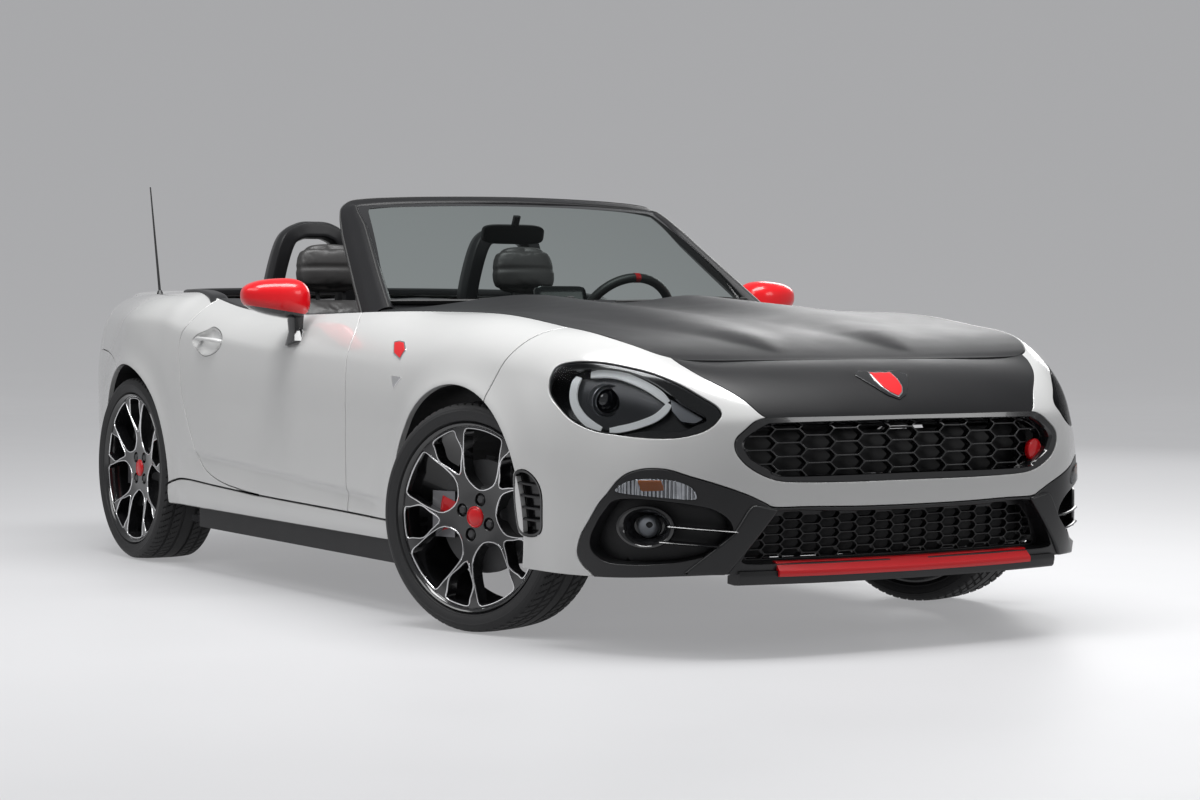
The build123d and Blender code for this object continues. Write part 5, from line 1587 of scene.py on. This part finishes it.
# ---- glass, mirrors, cabin and tail -------------------------------------------------------------
def bar(path: Line, width: float, thick: float, up: Line = (0, 0, 1), soft: float = 2.0,
        scale: float | np.ndarray = 1.0) -> Shape:
    """Returns a rounded flat bar along a path; its width lies across the path and up."""
    w, h = width / 2, thick / 2
    section = rounded([(-w, -h), (w, -h), (w, h), (-w, h)], soft, max(soft, 1.5))
    return sweep(path, section, up, scale=scale)


@dataclass
class Windscreen:
    """The glass, its frame from pillar to pillar, the cabin mirror and the wipers.

    The pane runs from its lower line (700u, 210u^2 - 566, 856) to its upper line (550u, 72u^2 - 12,
    1190 - 16u^2), u from -1 to 1, and bows out 14 mm between them.
    """

    frame_path: tuple = (
        (697, -384, 838), (664, -262, 926), (632, -150, 1008), (600, -38, 1091), (580, 36, 1143), (558, 76, 1171),
        (514, 74, 1182), (412, 52, 1190), (270, 24, 1195), (120, 6, 1198), (0, 2, 1199),
    )

    def pane(self) -> Surface:
        """Returns the pane as a surface over millimetres across and up."""
        u, v = np.meshgrid(np.linspace(-1, 1, 91), np.linspace(0, 1, 61), indexing="ij")
        low = np.stack([700 * u, 210 * u * u - 566, 856 + 0 * u], axis=-1)
        high = np.stack([550 * u, 72 * u * u - 12, 1190 - 16 * u * u], axis=-1)
        points = low + (high - low) * v[..., None]
        points += (14 * 4 * v * (1 - v))[..., None] * unit(array((0, -0.52, 0.85)))
        return Surface(points, np.linspace(-600, 600, 91), np.linspace(0, 520, 61))

    def build(self) -> None:
        """Builds the windscreen and what it carries."""
        pane = self.pane()
        edge = rounded([(-596, 3), (596, 3), (594, 517), (-594, 517)], 22, 10)
        inner = rounded([(-566, 40), (566, 40), (560, 500), (-560, 500)], 30, 10)
        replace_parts(mesh_object("windscreen_glass", pane.patch([edge], 24.0, Rim(0.6, 4.4, 0.0)), GLASS),
                    "windscreen")
        mesh_object("windscreen_border", pane.patch([edge, inner], 20.0, Rim(0.2, 0.6, 0.0), depth=-0.5), GLOSS)
        path = carried_over(spline(self.frame_path, 6))
        share = np.clip((path[:, 2] - 832) / 340, 0, 1)[:, None]
        up = unit(np.hstack([np.sign(path[:, :1]) * (1 - share) * 0.75 + 0.0014 * path[:, :1] * share,
                             -0.45 + 0 * share, 0.62 + 0.3 * share]))
        section = rounded([(-52, -20), (-28, -32), (38, -30), (52, -14), (49, 3), (14, 13), (-30, 13),
                           (-51, 4)], 7, 5)
        size = np.interp(path[:, 2], (832, 1090, 1165, 1190), (1.0, 0.88, 0.58, 0.44))
        surround = sweep(path, section, up=up, scale=size)
        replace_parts(mesh_object("windscreen_surround", surround, MATTE, 30), "windscreen_frame")
        for name, offset in (("outer", 1.0), ("inner", -1.0)):
            side = unit(np.cross(unit(np.gradient(path, axis=0)), up)) * offset * 42 * size[:, None]
            seal = sweep(path + side + 5 * up * size[:, None], circle(4.2, 8), up=up, scale=size)
            mesh_object(f"windscreen_seal_{name}", seal, SEAL)
        head = pillow((112, 15, 31), 4.5, 20)
        stalk = bar([(0, 8, 1150), (0, 18, 1128), (0, 32, 1100)], 24, 14, (0, 1, 0), 5)
        mesh_object("cabin_mirror", joined([head.turned(turn(12, "X")).moved(0, 36, 1093), stalk]), SATIN)
        for name, x0, x1 in (("left", 540, 20), ("right", -60, -590)):
            u = np.linspace(x0, x1, 30) / 600
            points, normals = pane.at(np.stack([u * 600, np.full(30, 22.0)], axis=-1))
            tip = np.abs(np.linspace(-1, 1, 30)) ** 6
            blade = bar(points + 9 * normals, 9, 14, normals, 2, 1 - 0.45 * tip)
            arm = spline([points[4] + 24 * normals[4] + (18, -6, -4), points[9] + 26 * normals[9],
                          points[16] + 17 * normals[16]], 8)
            pivot = lathe(((-14, 0.01), (-14, 13), (6, 12), (9, 8), (9.5, 0.01)), 24)
            pivot = pivot.turned(turn(-90, "Y")).moved(*arm[0])
            mesh_object(f"wiper_{name}", joined([blade, bar(arm, 15, 8), pivot]), SEAL)


@dataclass
class Doors:
    """What is on and in the doors: jambs, trims, handles and mirrors; badges stand on the fenders."""

    side: Surface
    work: Bodywork
    cup: tuple = ((518, 784), (488, 794), (425, 780), (388, 757), (398, 730), (451, 709), (518, 704), (579, 729),
                  (604, 750), (580, 766))
    shield: tuple = ((-737, 768), (-768, 771), (-800, 768), (-834, 746), (-822, 718), (-769, 735))

    def build(self) -> None:
        """Builds both doors' fittings."""
        front = self.work.beside(spline(self.work.door_front, 5))
        rear = self.work.beside(spline(self.work.door_rear, 5))
        front[0, 1] = rear[0, 1] = self.side.t[-1]
        front, rear = front + (6, 0), rear - (6, 0)
        edge = self.work.along(front[0, 0], rear[0, 0], self.side.t[-1] - 3)
        loop = rounded(np.vstack([edge, rear[1:], front[:0:-1]]), 8, 8)
        points, normals = self.side.at(edge)
        inboard = unit(normals * (1, 1, 0))
        points, inboard = (v[points[:, 1] > -300] for v in (points, inboard))
        section = rounded([(-44, -15), (44, -15), (44, 5), (30, 11), (-30, 11), (-44, 5)], 5, 4)
        belt = sweep(points - 42 * inboard - (0, 0, 8), section)
        trim = self.side.patch([loop], 22.0, Rim(4.0, 10.0, 0.0), depth=76.0).inside_out()
        rest = spline([(752, -330, 690), (742, -200, 665), (736, 60, 650), (738, 330, 664), (745, 430, 700)], 8)
        cup = rounded(self.work.beside(spline(self.cup, 5, closed=True)), 5, 5)
        bowl = [(cup, 1.0), (drawn_in(cup, 0.94), 3.0), (drawn_in(cup, 0.80), 13.0), (drawn_in(cup, 0.5), 18.0),
                (drawn_in(cup, 0.02), 19.0)]
        y = np.array([404, 414, 440, 480, 520, 552, 562.0])
        line = np.stack([y, np.interp(y, (404, 562), (752, 757))], axis=-1)
        points, normals = self.side.at(self.work.beside(line))
        lift = np.array([-10, 6, 17, 20, 17, 6, -10.0])[:, None]
        section = rounded([(-9, -6), (9, -6), (9, 2), (4, 6), (-4, 6), (-9, 2)], 3, 2)
        handle = sweep(spline(points + lift * normals, 6), section)
        shield = rounded(self.work.beside(self.shield), 4, 4)
        middle = shield.mean(axis=0)
        shield_field = middle + (shield - middle) * 0.84
        mark = rounded(self.work.beside([(-788, 674), (-848, 672), (-806, 640)]), 3, 4)
        on_door = [
            ("door_jamb", collar(self.side, [(loop, 8), (loop, 76)], 260).inside_out(), PEARL),
            ("door_trim", trim, LEATHER), ("door_belt", belt, SATIN),
            ("door_armrest", bar(rest, 46, 34, soft=8), LEATHER),
            ("handle_cup", collar(self.side, bowl, 90), PEARL), ("door_handle", handle, PEARL),
        ]
        on_fender = [
            ("fender_badge_rim", self.side.patch([shield], 8.0, Rim(1.0, 3.0, 0.0), depth=-2.0), CHROME),
            ("fender_badge_field", self.side.patch([shield_field], 8.0, Rim(0.7, 2.0, 0.0), depth=-2.8), RED),
            ("fender_marker", self.side.patch([mark], 6.0, Rim(1.2, 4.0, 0.0), depth=-1.8), CHROME),
        ]
        for body, rows in (("door_{hand}", on_door), ("chassis", on_fender), ("door_{hand}", self.mirror())):
            for name, shape, finish in rows:
                pieces = pair(name, shape, finish, 35, body)
                if name == "mirror_cap":
                    for piece, (hand, _) in zip(pieces, SIDES):
                        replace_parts(piece, f"mirror_{hand}")

    def mirror(self) -> list:
        """Returns the mirror's cap, its black lower shell, glass and foot, on the left side.

        A rounded block |x|^2.6 + |y|^2.6 + |z|^2.6 = 1 is drawn thinner outboard and cut flat behind.
        """
        def shell(grow: float, floor: float) -> Shape:
            """Returns the rounded block grown by a distance and cut flat below a floor."""
            shape = pillow((104 + grow, 70 + grow, 58 + grow), 2.7, 30)
            x, y, z = shape.points.T
            out = np.clip(x / 104, -0.7, 1)
            z = np.maximum(z * (1 - 0.24 * out) + 7 * out, floor + 16 * out)
            y = np.minimum(y * (1 - 0.15 * np.clip(out, 0, 1)), 38)
            return replace(shape, points=np.stack([x, y, z], axis=-1)).turned(turn(8, "Z")).moved(892, -100, 888)

        glass = pillow((84, 2.5, 43), 3.5, 18).turned(turn(8, "Z")).moved(884, -61, 889)
        foot = spline([(822, -96, 866), (824, -97, 836), (826, -102, 796), (830, -112, 752)], 6)
        size = np.interp(foot[:, 2], (752, 790, 862), (2.0, 1.3, 1.7))
        return [("mirror_cap", shell(0.0, -36.0), RED), ("mirror_shell", shell(-1.8, -99.0), GLOSS),
                ("mirror_glass", glass, CHROME), ("mirror_foot", bar(foot, 22, 38, (0, 1, 0), 7, size), GLOSS)]


@dataclass
class Cabin:
    """Seats of simulated padding, the dashboard, the wheel, the console, the hoops and the folded roof."""

    grooves: tuple = (-130, -65, 0, 65, 130, 195)
    seat_x: float = 370.0
    roof_layers: int = 5
    roof_width: float = 1120.0

    def build(self) -> None:
        """Builds the cabin."""
        self.build_seats()
        self.build_dashboard()
        self.build_controls()
        self.build_surround()
        self.build_roof()

    def padded(self, name: str, shape: Shape, cap: float, place: Callable[[Shape], Shape]) -> None:
        """Makes a left and a right padded piece: remeshed, blown up by a cloth run and seamed.

        No point moves more than the cap; afterwards the seams sink 5 exp(-(d / 5)^2) mm at a
        distance d from their lines, and place takes the piece from its own axes to the car's.
        """
        work = mesh_object(name, shape, LEATHER)
        modifier(work, "REMESH", mode="VOXEL", voxel_size=0.0075)
        mesh = baked(work)
        start = coordinates(mesh)
        work.modifiers.clear()
        work.data = mesh
        cloth = work.modifiers.new("cloth", "CLOTH")
        cloth.settings.use_pressure, cloth.settings.uniform_pressure_force = True, 4.0
        cloth.settings.effector_weights.gravity = 0.0
        for frame_number in range(1, 21):
            bpy.context.scene.frame_set(frame_number)
        mesh = baked(work)
        bpy.context.scene.frame_set(1)
        move = coordinates(mesh) - start
        size = np.linalg.norm(move, axis=1, keepdims=True)
        start = start + move * np.minimum(1, cap / np.maximum(size, 1e-9))
        bpy.data.objects.remove(work)
        x, y, z = (start * 1000).T
        along = y if np.ptp(y) > np.ptp(z) else z
        lines = np.where(np.abs(x) < 146, np.min([np.abs(along - g) for g in self.grooves], axis=0), 99)
        sink = 5 * np.exp(-((lines / 5) ** 2)) + 6 * np.exp(-(((np.abs(x) - 150) / 5) ** 2)) * (np.ptp(x) > 300)
        mesh.vertices.foreach_set("co", start.ravel())
        mesh.update()
        normal = np.empty(len(start) * 3)
        mesh.vertices.foreach_get("normal", normal)
        points = start * 1000 - sink[:, None] * normal.reshape(-1, 3)
        faces = np.empty(len(mesh.loops), int)
        mesh.loops.foreach_get("vertex_index", faces)
        shape = place(Shape(points, faces.reshape(-1, 4)))
        pieces = pair(name, shape, LEATHER)
        for piece in pieces:
            modifier(piece, "SUBSURF", levels=1, render_levels=1)
        if name == "seat_back":
            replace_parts(pieces[0], "seats")

    def build_seats(self) -> None:
        """Builds the cushions, backs and headrests with their bolsters, and the seat bases."""
        def bolstered(half: tuple, power: float, axis: int, lift: float) -> Shape:
            """Returns a rounded block whose face along an axis rises by a lift toward its sides."""
            shape = pillow(half, power, 26)
            way = 1 if axis == 2 else -1
            side = np.clip((np.abs(shape.points[:, 0]) - 120) / 90, 0, 1)
            face = shape.points[:, axis] * way > 0
            shape.points[:, axis] += way * face * lift * side * side * (3 - 2 * side)
            return shape

        seat = self.seat_x
        cushion = bolstered((216, 244, 50), 5, 2, 26)
        self.padded("seat_cushion", cushion, 0.016, lambda s: s.turned(turn(-6, "X")).moved(seat, 326, 296))
        back = bolstered((212, 42, 304), 5, 1, 28)
        back.points[:, 0] *= 1 - 0.16 * np.clip(back.points[:, 2] / 300, 0, 1) ** 2
        self.padded("seat_back", back, 0.016, lambda s: s.turned(turn(-14, "X")).moved(seat, 538, 598))
        head = pillow((116, 34, 78), 4, 22)
        head.points[:, 0] *= 1 - 0.14 * np.clip(head.points[:, 2] / 78, 0, 1)
        self.padded("headrest", head, 0.012, lambda s: s.turned(turn(-8, "X")).moved(seat, 612, 985))
        posts = [bar([(seat + x, 596, 880), (seat + x, 604, 940)], 12, 12, (1, 0, 0), 4) for x in (-48, 48)]
        pair("seat_base", joined([*posts, pillow((205, 195, 40), 12, 16).moved(seat, 320, 214)]), SATIN)

    def build_dashboard(self) -> None:
        """Builds the dashboard as one profile carried across the car, with a hood over the dials.

        The hood raises the profile's upper points by 34 exp(-((x - 370) / 150)^4).
        """
        profile = spline([
            (-606, 560), (-612, 760), (-596, 806), (-540, 826), (-440, 836), (-360, 838), (-285, 826), (-246, 800),
            (-236, 760), (-250, 700), (-282, 640), (-300, 580), (-320, 552)], 5, closed=True)
        x = np.linspace(-640, 640, 97)
        hood = np.exp(-(((x - self.seat_x) / 150) ** 4))[:, None]
        y, z = (np.broadcast_to(c, (97, len(profile))).copy() for c in profile.T)
        top = np.clip((z - 790) / 30, 0, 1) * np.clip((y + 480) / 120, 0, 1)
        z += 34 * hood * top
        y += 26 * hood * top
        y -= (np.clip((np.abs(x) - 520) / 120, 0, 1) ** 2 * 22)[:, None] * np.clip((y + 420) / 100, 0, 1)
        grid = np.stack([np.broadcast_to(x[:, None], y.shape), y, z], axis=-1)
        shape = joined([net(grid, wrap_v=True), fan(grid[0][::-1]), fan(grid[-1])]).welded(0.001)
        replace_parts(mesh_object("dashboard_pad", shape, LEATHER, 30), "dashboard")
        ring = lathe(((-12, 36), (4, 40), (9, 38), (9, 33), (-4, 29), (-5, 0.01)), 40)
        back = facing((0, 0.94, 0.34))
        vents = [ring.turned(back).moved(x, -248, 752) for x in (-585, -90, 90, 585)]
        dials = [lathe(((0, r), (7, r), (7, r - 3), (1, r - 6), (1, 0.01)), 48).turned(back).moved(x, -228, 792)
                 for x, r in ((300, 38), (370, 52), (440, 38))]
        mesh_object("air_vents", joined(vents), GLOSS, 30)
        mesh_object("dials", joined(dials), LAMP_GREY, 30)
        screen = pillow((92, 9, 56), 9, 14).turned(turn(-14, "X")).moved(0, -268, 872)
        mesh_object("screen", screen, GLOSS)

    def build_controls(self) -> None:
        """Builds the steering wheel on its own body, the console and the levers."""
        a = np.radians(np.arange(0, 360, 3.0))
        path = 172 * np.stack([np.cos(a), np.sin(a), 0 * a], axis=-1)
        rim = sweep(path, circle(15, 20) * (1.0, 1.08), closed=True)
        near = np.abs(np.degrees(a) - 270) < 5
        mark = sweep(path[near], circle(15.8, 20) * (1.0, 1.08))
        pad = pillow((66, 56, 20), 4, 20).moved(0, 4, -22)
        lines = [spline([(50 * c, 4 + 30 * s, -26), (110 * c, 4 + 90 * s, -20), (164 * c, 168 * s, -4)], 6)
                 for c, s in ((1, 0.02), (-1, 0.02), (0.34, 0.94), (-0.34, 0.94))]
        arms = joined([bar(line, 30, 12, soft=4) for line in lines])
        column = lathe(((-120, 34), (-30, 42), (-24, 30), (-24, 0.01)), 32).turned(turn(-90, "Y"))
        for name, shape, finish in (("steering_rim", rim, LEATHER), ("steering_mark", mark, RED),
                                    ("steering_pad", joined([pad, column]), SATIN), ("steering_arms", arms, GLOSS)):
            shape = shape.turned(turn(-65, "X")).moved(self.seat_x, -45, 800)
            piece = mesh_object(name, shape, finish, body="steering_wheel")
            if finish is LEATHER:
                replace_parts(piece, "steering_wheel")
        console = pillow((108, 400, 42), 7, 22)
        console.points[:, 2] += 26 * np.clip(console.points[:, 1] / 400, 0, 1)
        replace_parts(mesh_object("console_pad", console.moved(0, 190, 442), LEATHER), "centre_console")
        boot = lathe(((0, 52), (10, 44), (40, 20), (66, 13), (70, 0.01)), 28).turned(turn(-90, "Y"))
        knob = pillow((22, 22, 30), 2.4, 14).moved(0, 14, 584)
        stick = bar([(0, 11, 530), (0, 14, 570)], 12, 12, (1, 0, 0), 5)
        brake = bar(spline([(-60, 250, 486), (-60, 150, 500), (-60, 60, 528)], 6), 28, 24, soft=8)
        mesh_object("gear_boot", boot.moved(0, 10, 476), LEATHER)
        mesh_object("gear_lever", joined([knob, stick]), CHROME)
        mesh_object("hand_brake", brake, LEATHER)

    def build_surround(self) -> None:
        """Builds the black rim round the rear of the cockpit and the covers of the two hoops."""
        path = carried_over(spline([
            (742, 652, 872), (722, 720, 893), (700, 850, 905), (686, 980, 908), (655, 1070, 908), (560, 1110, 912),
            (300, 1122, 915), (0, 1124, 916)], 8))
        rim = sweep(path, rounded([(-30, -16), (30, -16), (30, 2), (20, 7), (-20, 7), (-30, 2)], 4, 4))
        mesh_object("cockpit_rim", rim, SATIN, 30)
        side = sweep(path[:40], rounded([(-4, -260), (4, -260), (4, 0), (-4, 0)], 2, 12))
        path = spline([(232, 770, 830), (240, 752, 950), (272, 738, 1072), (318, 734, 1108), (370, 733, 1113),
                       (422, 734, 1108), (468, 738, 1072), (500, 752, 950), (508, 770, 830)], 8)
        section = rounded([(-24, -40), (24, -40), (30, 0), (24, 30), (-24, 30), (-30, 0)], 10, 5)
        hoop = sweep(path, section, up=(0, -1, 0.1))
        bead = sweep(path[6:-6], circle(6, 8), up=(0, -1, 0.1))
        for hand, sign in SIDES:
            for name, shape in (("hoop_cover", hoop), ("hoop_bead", bead), ("cockpit_side", side)):
                mesh_object(f"{name}_{hand}", shape if sign > 0 else shape.other_side(), SATIN, 30)
        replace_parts(bpy.data.objects["hoop_cover_left"], "roll_hoops")

    def build_roof(self) -> None:
        """Builds the folded roof: one sheet that runs to and fro in five layers under its own crown."""
        layers = []
        for k in range(self.roof_layers):
            y = np.linspace(872, 1080, 27)
            wave = 3 * np.sin(y / 23 + 2 * k)
            row = np.stack([y, 800 + 21 * k + wave], axis=-1)
            layers.append(row if k % 2 == 0 else row[::-1])
        line = spline(spaced(np.vstack(layers), 9.0), 2)
        line = np.stack([np.convolve(np.pad(c, 3, mode="edge"), np.ones(7) / 7, "valid") for c in line.T], axis=-1)
        half = self.roof_width / 2
        x = np.linspace(-half, half, 57)
        sag = 16 * (x / half) ** 2 + 2.5 * np.sin(x / 41)
        grid = np.stack([np.broadcast_to(x[:, None], (57, len(line))),
                         np.broadcast_to(line[:, 0], (57, len(line))),
                         line[None, :, 1] - sag[:, None]], axis=-1)
        piece = mesh_object("folded_roof", net(grid), CLOTH, 80)
        modifier(piece, "SOLIDIFY", thickness=0.002, offset=0.0)
        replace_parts(piece, "soft_top")


def coordinates(mesh: bpy.types.Mesh) -> np.ndarray:
    """Returns a mesh's points."""
    points = np.empty(len(mesh.vertices) * 3)
    mesh.vertices.foreach_get("co", points)
    return points.reshape(-1, 3)


def baked(piece: bpy.types.Object) -> bpy.types.Mesh:
    """Returns a new mesh with the piece's modifiers applied as they now stand."""
    graph = bpy.context.evaluated_depsgraph_get()
    return bpy.data.meshes.new_from_object(piece.evaluated_get(graph), depsgraph=graph)


@dataclass
class Tail:
    """The tail lamps, blank plate, diffuser with its fins, and exhaust tips."""

    side: Surface
    work: Bodywork

    def build(self) -> None:
        """Builds the tail."""
        work, side = self.work, self.side
        lamp = rounded(work.front(spline(work.tail_lamp, 5, closed=True), True), 5, 7)
        near, ring, core = (drawn_in(lamp, share) for share in (0.90, (0.62, 0.66), (0.36, 0.34)))
        bowl = joined([collar(side, [(lamp, 4), (near, 48)], 200),
                       side.patch([near], 22.0, work.shallow, depth=47.0)])
        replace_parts(pair("tail_lamp_bowl", bowl, LAMP_DARK)[0], "tail_lamps")
        pair("tail_lamp_ring", side.patch([near, ring], 9.0, Rim(5.0, 16.0, 0.0), depth=14.0), RUBY)
        pair("tail_lamp_core", side.patch([core], 9.0, Rim(4.0, 14.0, 0.0), depth=20.0), LAMP_GREY)
        pair("tail_lamp_cover", side.patch([lamp], 12.0, Rim(1.6, 8.0, 5.0), depth=0.6), RED_COVER)
        blank = ((0, 545), (248, 545), (252, 540), (252, 448), (248, 443), (0, 443))
        for name, line, soft, rim, lift, finish in (
            ("plate_holder", work.plate, 4.0, Rim(2.0, 5.0, 0.0), 2.0, COARSE),
            ("blank_plate", blank, 3.0, Rim(0.8, 2.0, 0.0), 4.0, PLATE),
        ):
            line = work.front(line, rear=True)
            line[[0, -1], 0] = work.end
            shape = side.patch([work.loop([line], soft)], 14.0, rim, depth=-lift)
            mesh_object(name, shape.whole(), finish)
        under = work.front(spline(work.diffuser, 6), rear=True)
        under[0, 0] = work.end
        loop = work.loop([under, work.along(under[-1, 0], work.end, 0.0)], 4.0)
        shape = side.patch([loop], 16.0, Rim(3.0, 30.0, 3.0))
        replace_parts(mesh_object("diffuser_skin", shape.whole(), COARSE), "rear_diffuser")
        fins = [spline([(x, 1800, 236), (x, 1960, 222), (x, 2018, 256), (x, 2016, 320)], 6)
                for x in (-240, -120, 0, 120, 240)]
        mesh_object("diffuser_fins", joined([bar(fin, 9, 46, (0, 0.3, 1), 3) for fin in fins]), GLOSS)
        tip = lathe(((-90, 30), (-20, 35), (22, 37), (26, 36), (26, 34), (20, 32), (-60, 30), (-88, 0.01)), 48)
        tips = [tip.turned(turn(90, "Z")).moved(x, 2000, 270) for x in (-435, -350, 350, 435)]
        mesh_object("exhaust_tips", joined(tips), CHROME, 50)


SLOT_FINISHES = {finish.slot: finish for finish in (
    PEARL, MATTE, COARSE, GLOSS, RED, WHEEL, RUBBER, LEATHER, CLOTH, CHROME, STEEL, DARK_STEEL, COVER, GLASS, RUBY)}
NODE_FINISHES = {"engine": DARK_STEEL, "floor_pan": CARPET, "boot_tub": CARPET, "cowl": COARSE, "antenna": SATIN}


def dress_frame() -> None:
    """Gives every carried-over solid the finish of its record slot, or the one named for its node."""
    for name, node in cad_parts.items():
        old = node.data.materials[0].name if node.data.materials and node.data.materials[0] else ""
        found = next((f for key, f in SLOT_FINISHES.items() if old.startswith(key)), COARSE)
        found = NODE_FINISHES.get(name, found)
        node.data.materials.clear()
        node.data.materials.append(found.material())
        node.data.polygons.foreach_set("use_smooth", np.zeros(len(node.data.polygons), bool))


def main() -> None:
    """Builds the car piece by piece around its frame."""
    logging.basicConfig(level=logging.INFO, format="%(message)s")
    Studio().build()
    side = BodySide().build()
    work = Bodywork(side, BonnetTop().build(), DeckTop().build())
    work.build()
    FrontEnd(side, work).build()
    for end, hand, phase in (("front", "left", 40.0), ("front", "right", 11.5), ("rear", "left", 3.0),
                             ("rear", "right", 36.0)):
        Wheel(end, hand, phase).build()
    Windscreen().build()
    Doors(side, work).build()
    Cabin().build()
    Tail(side, work).build()
    dress_frame()


if __name__ == "__main__":
    main()
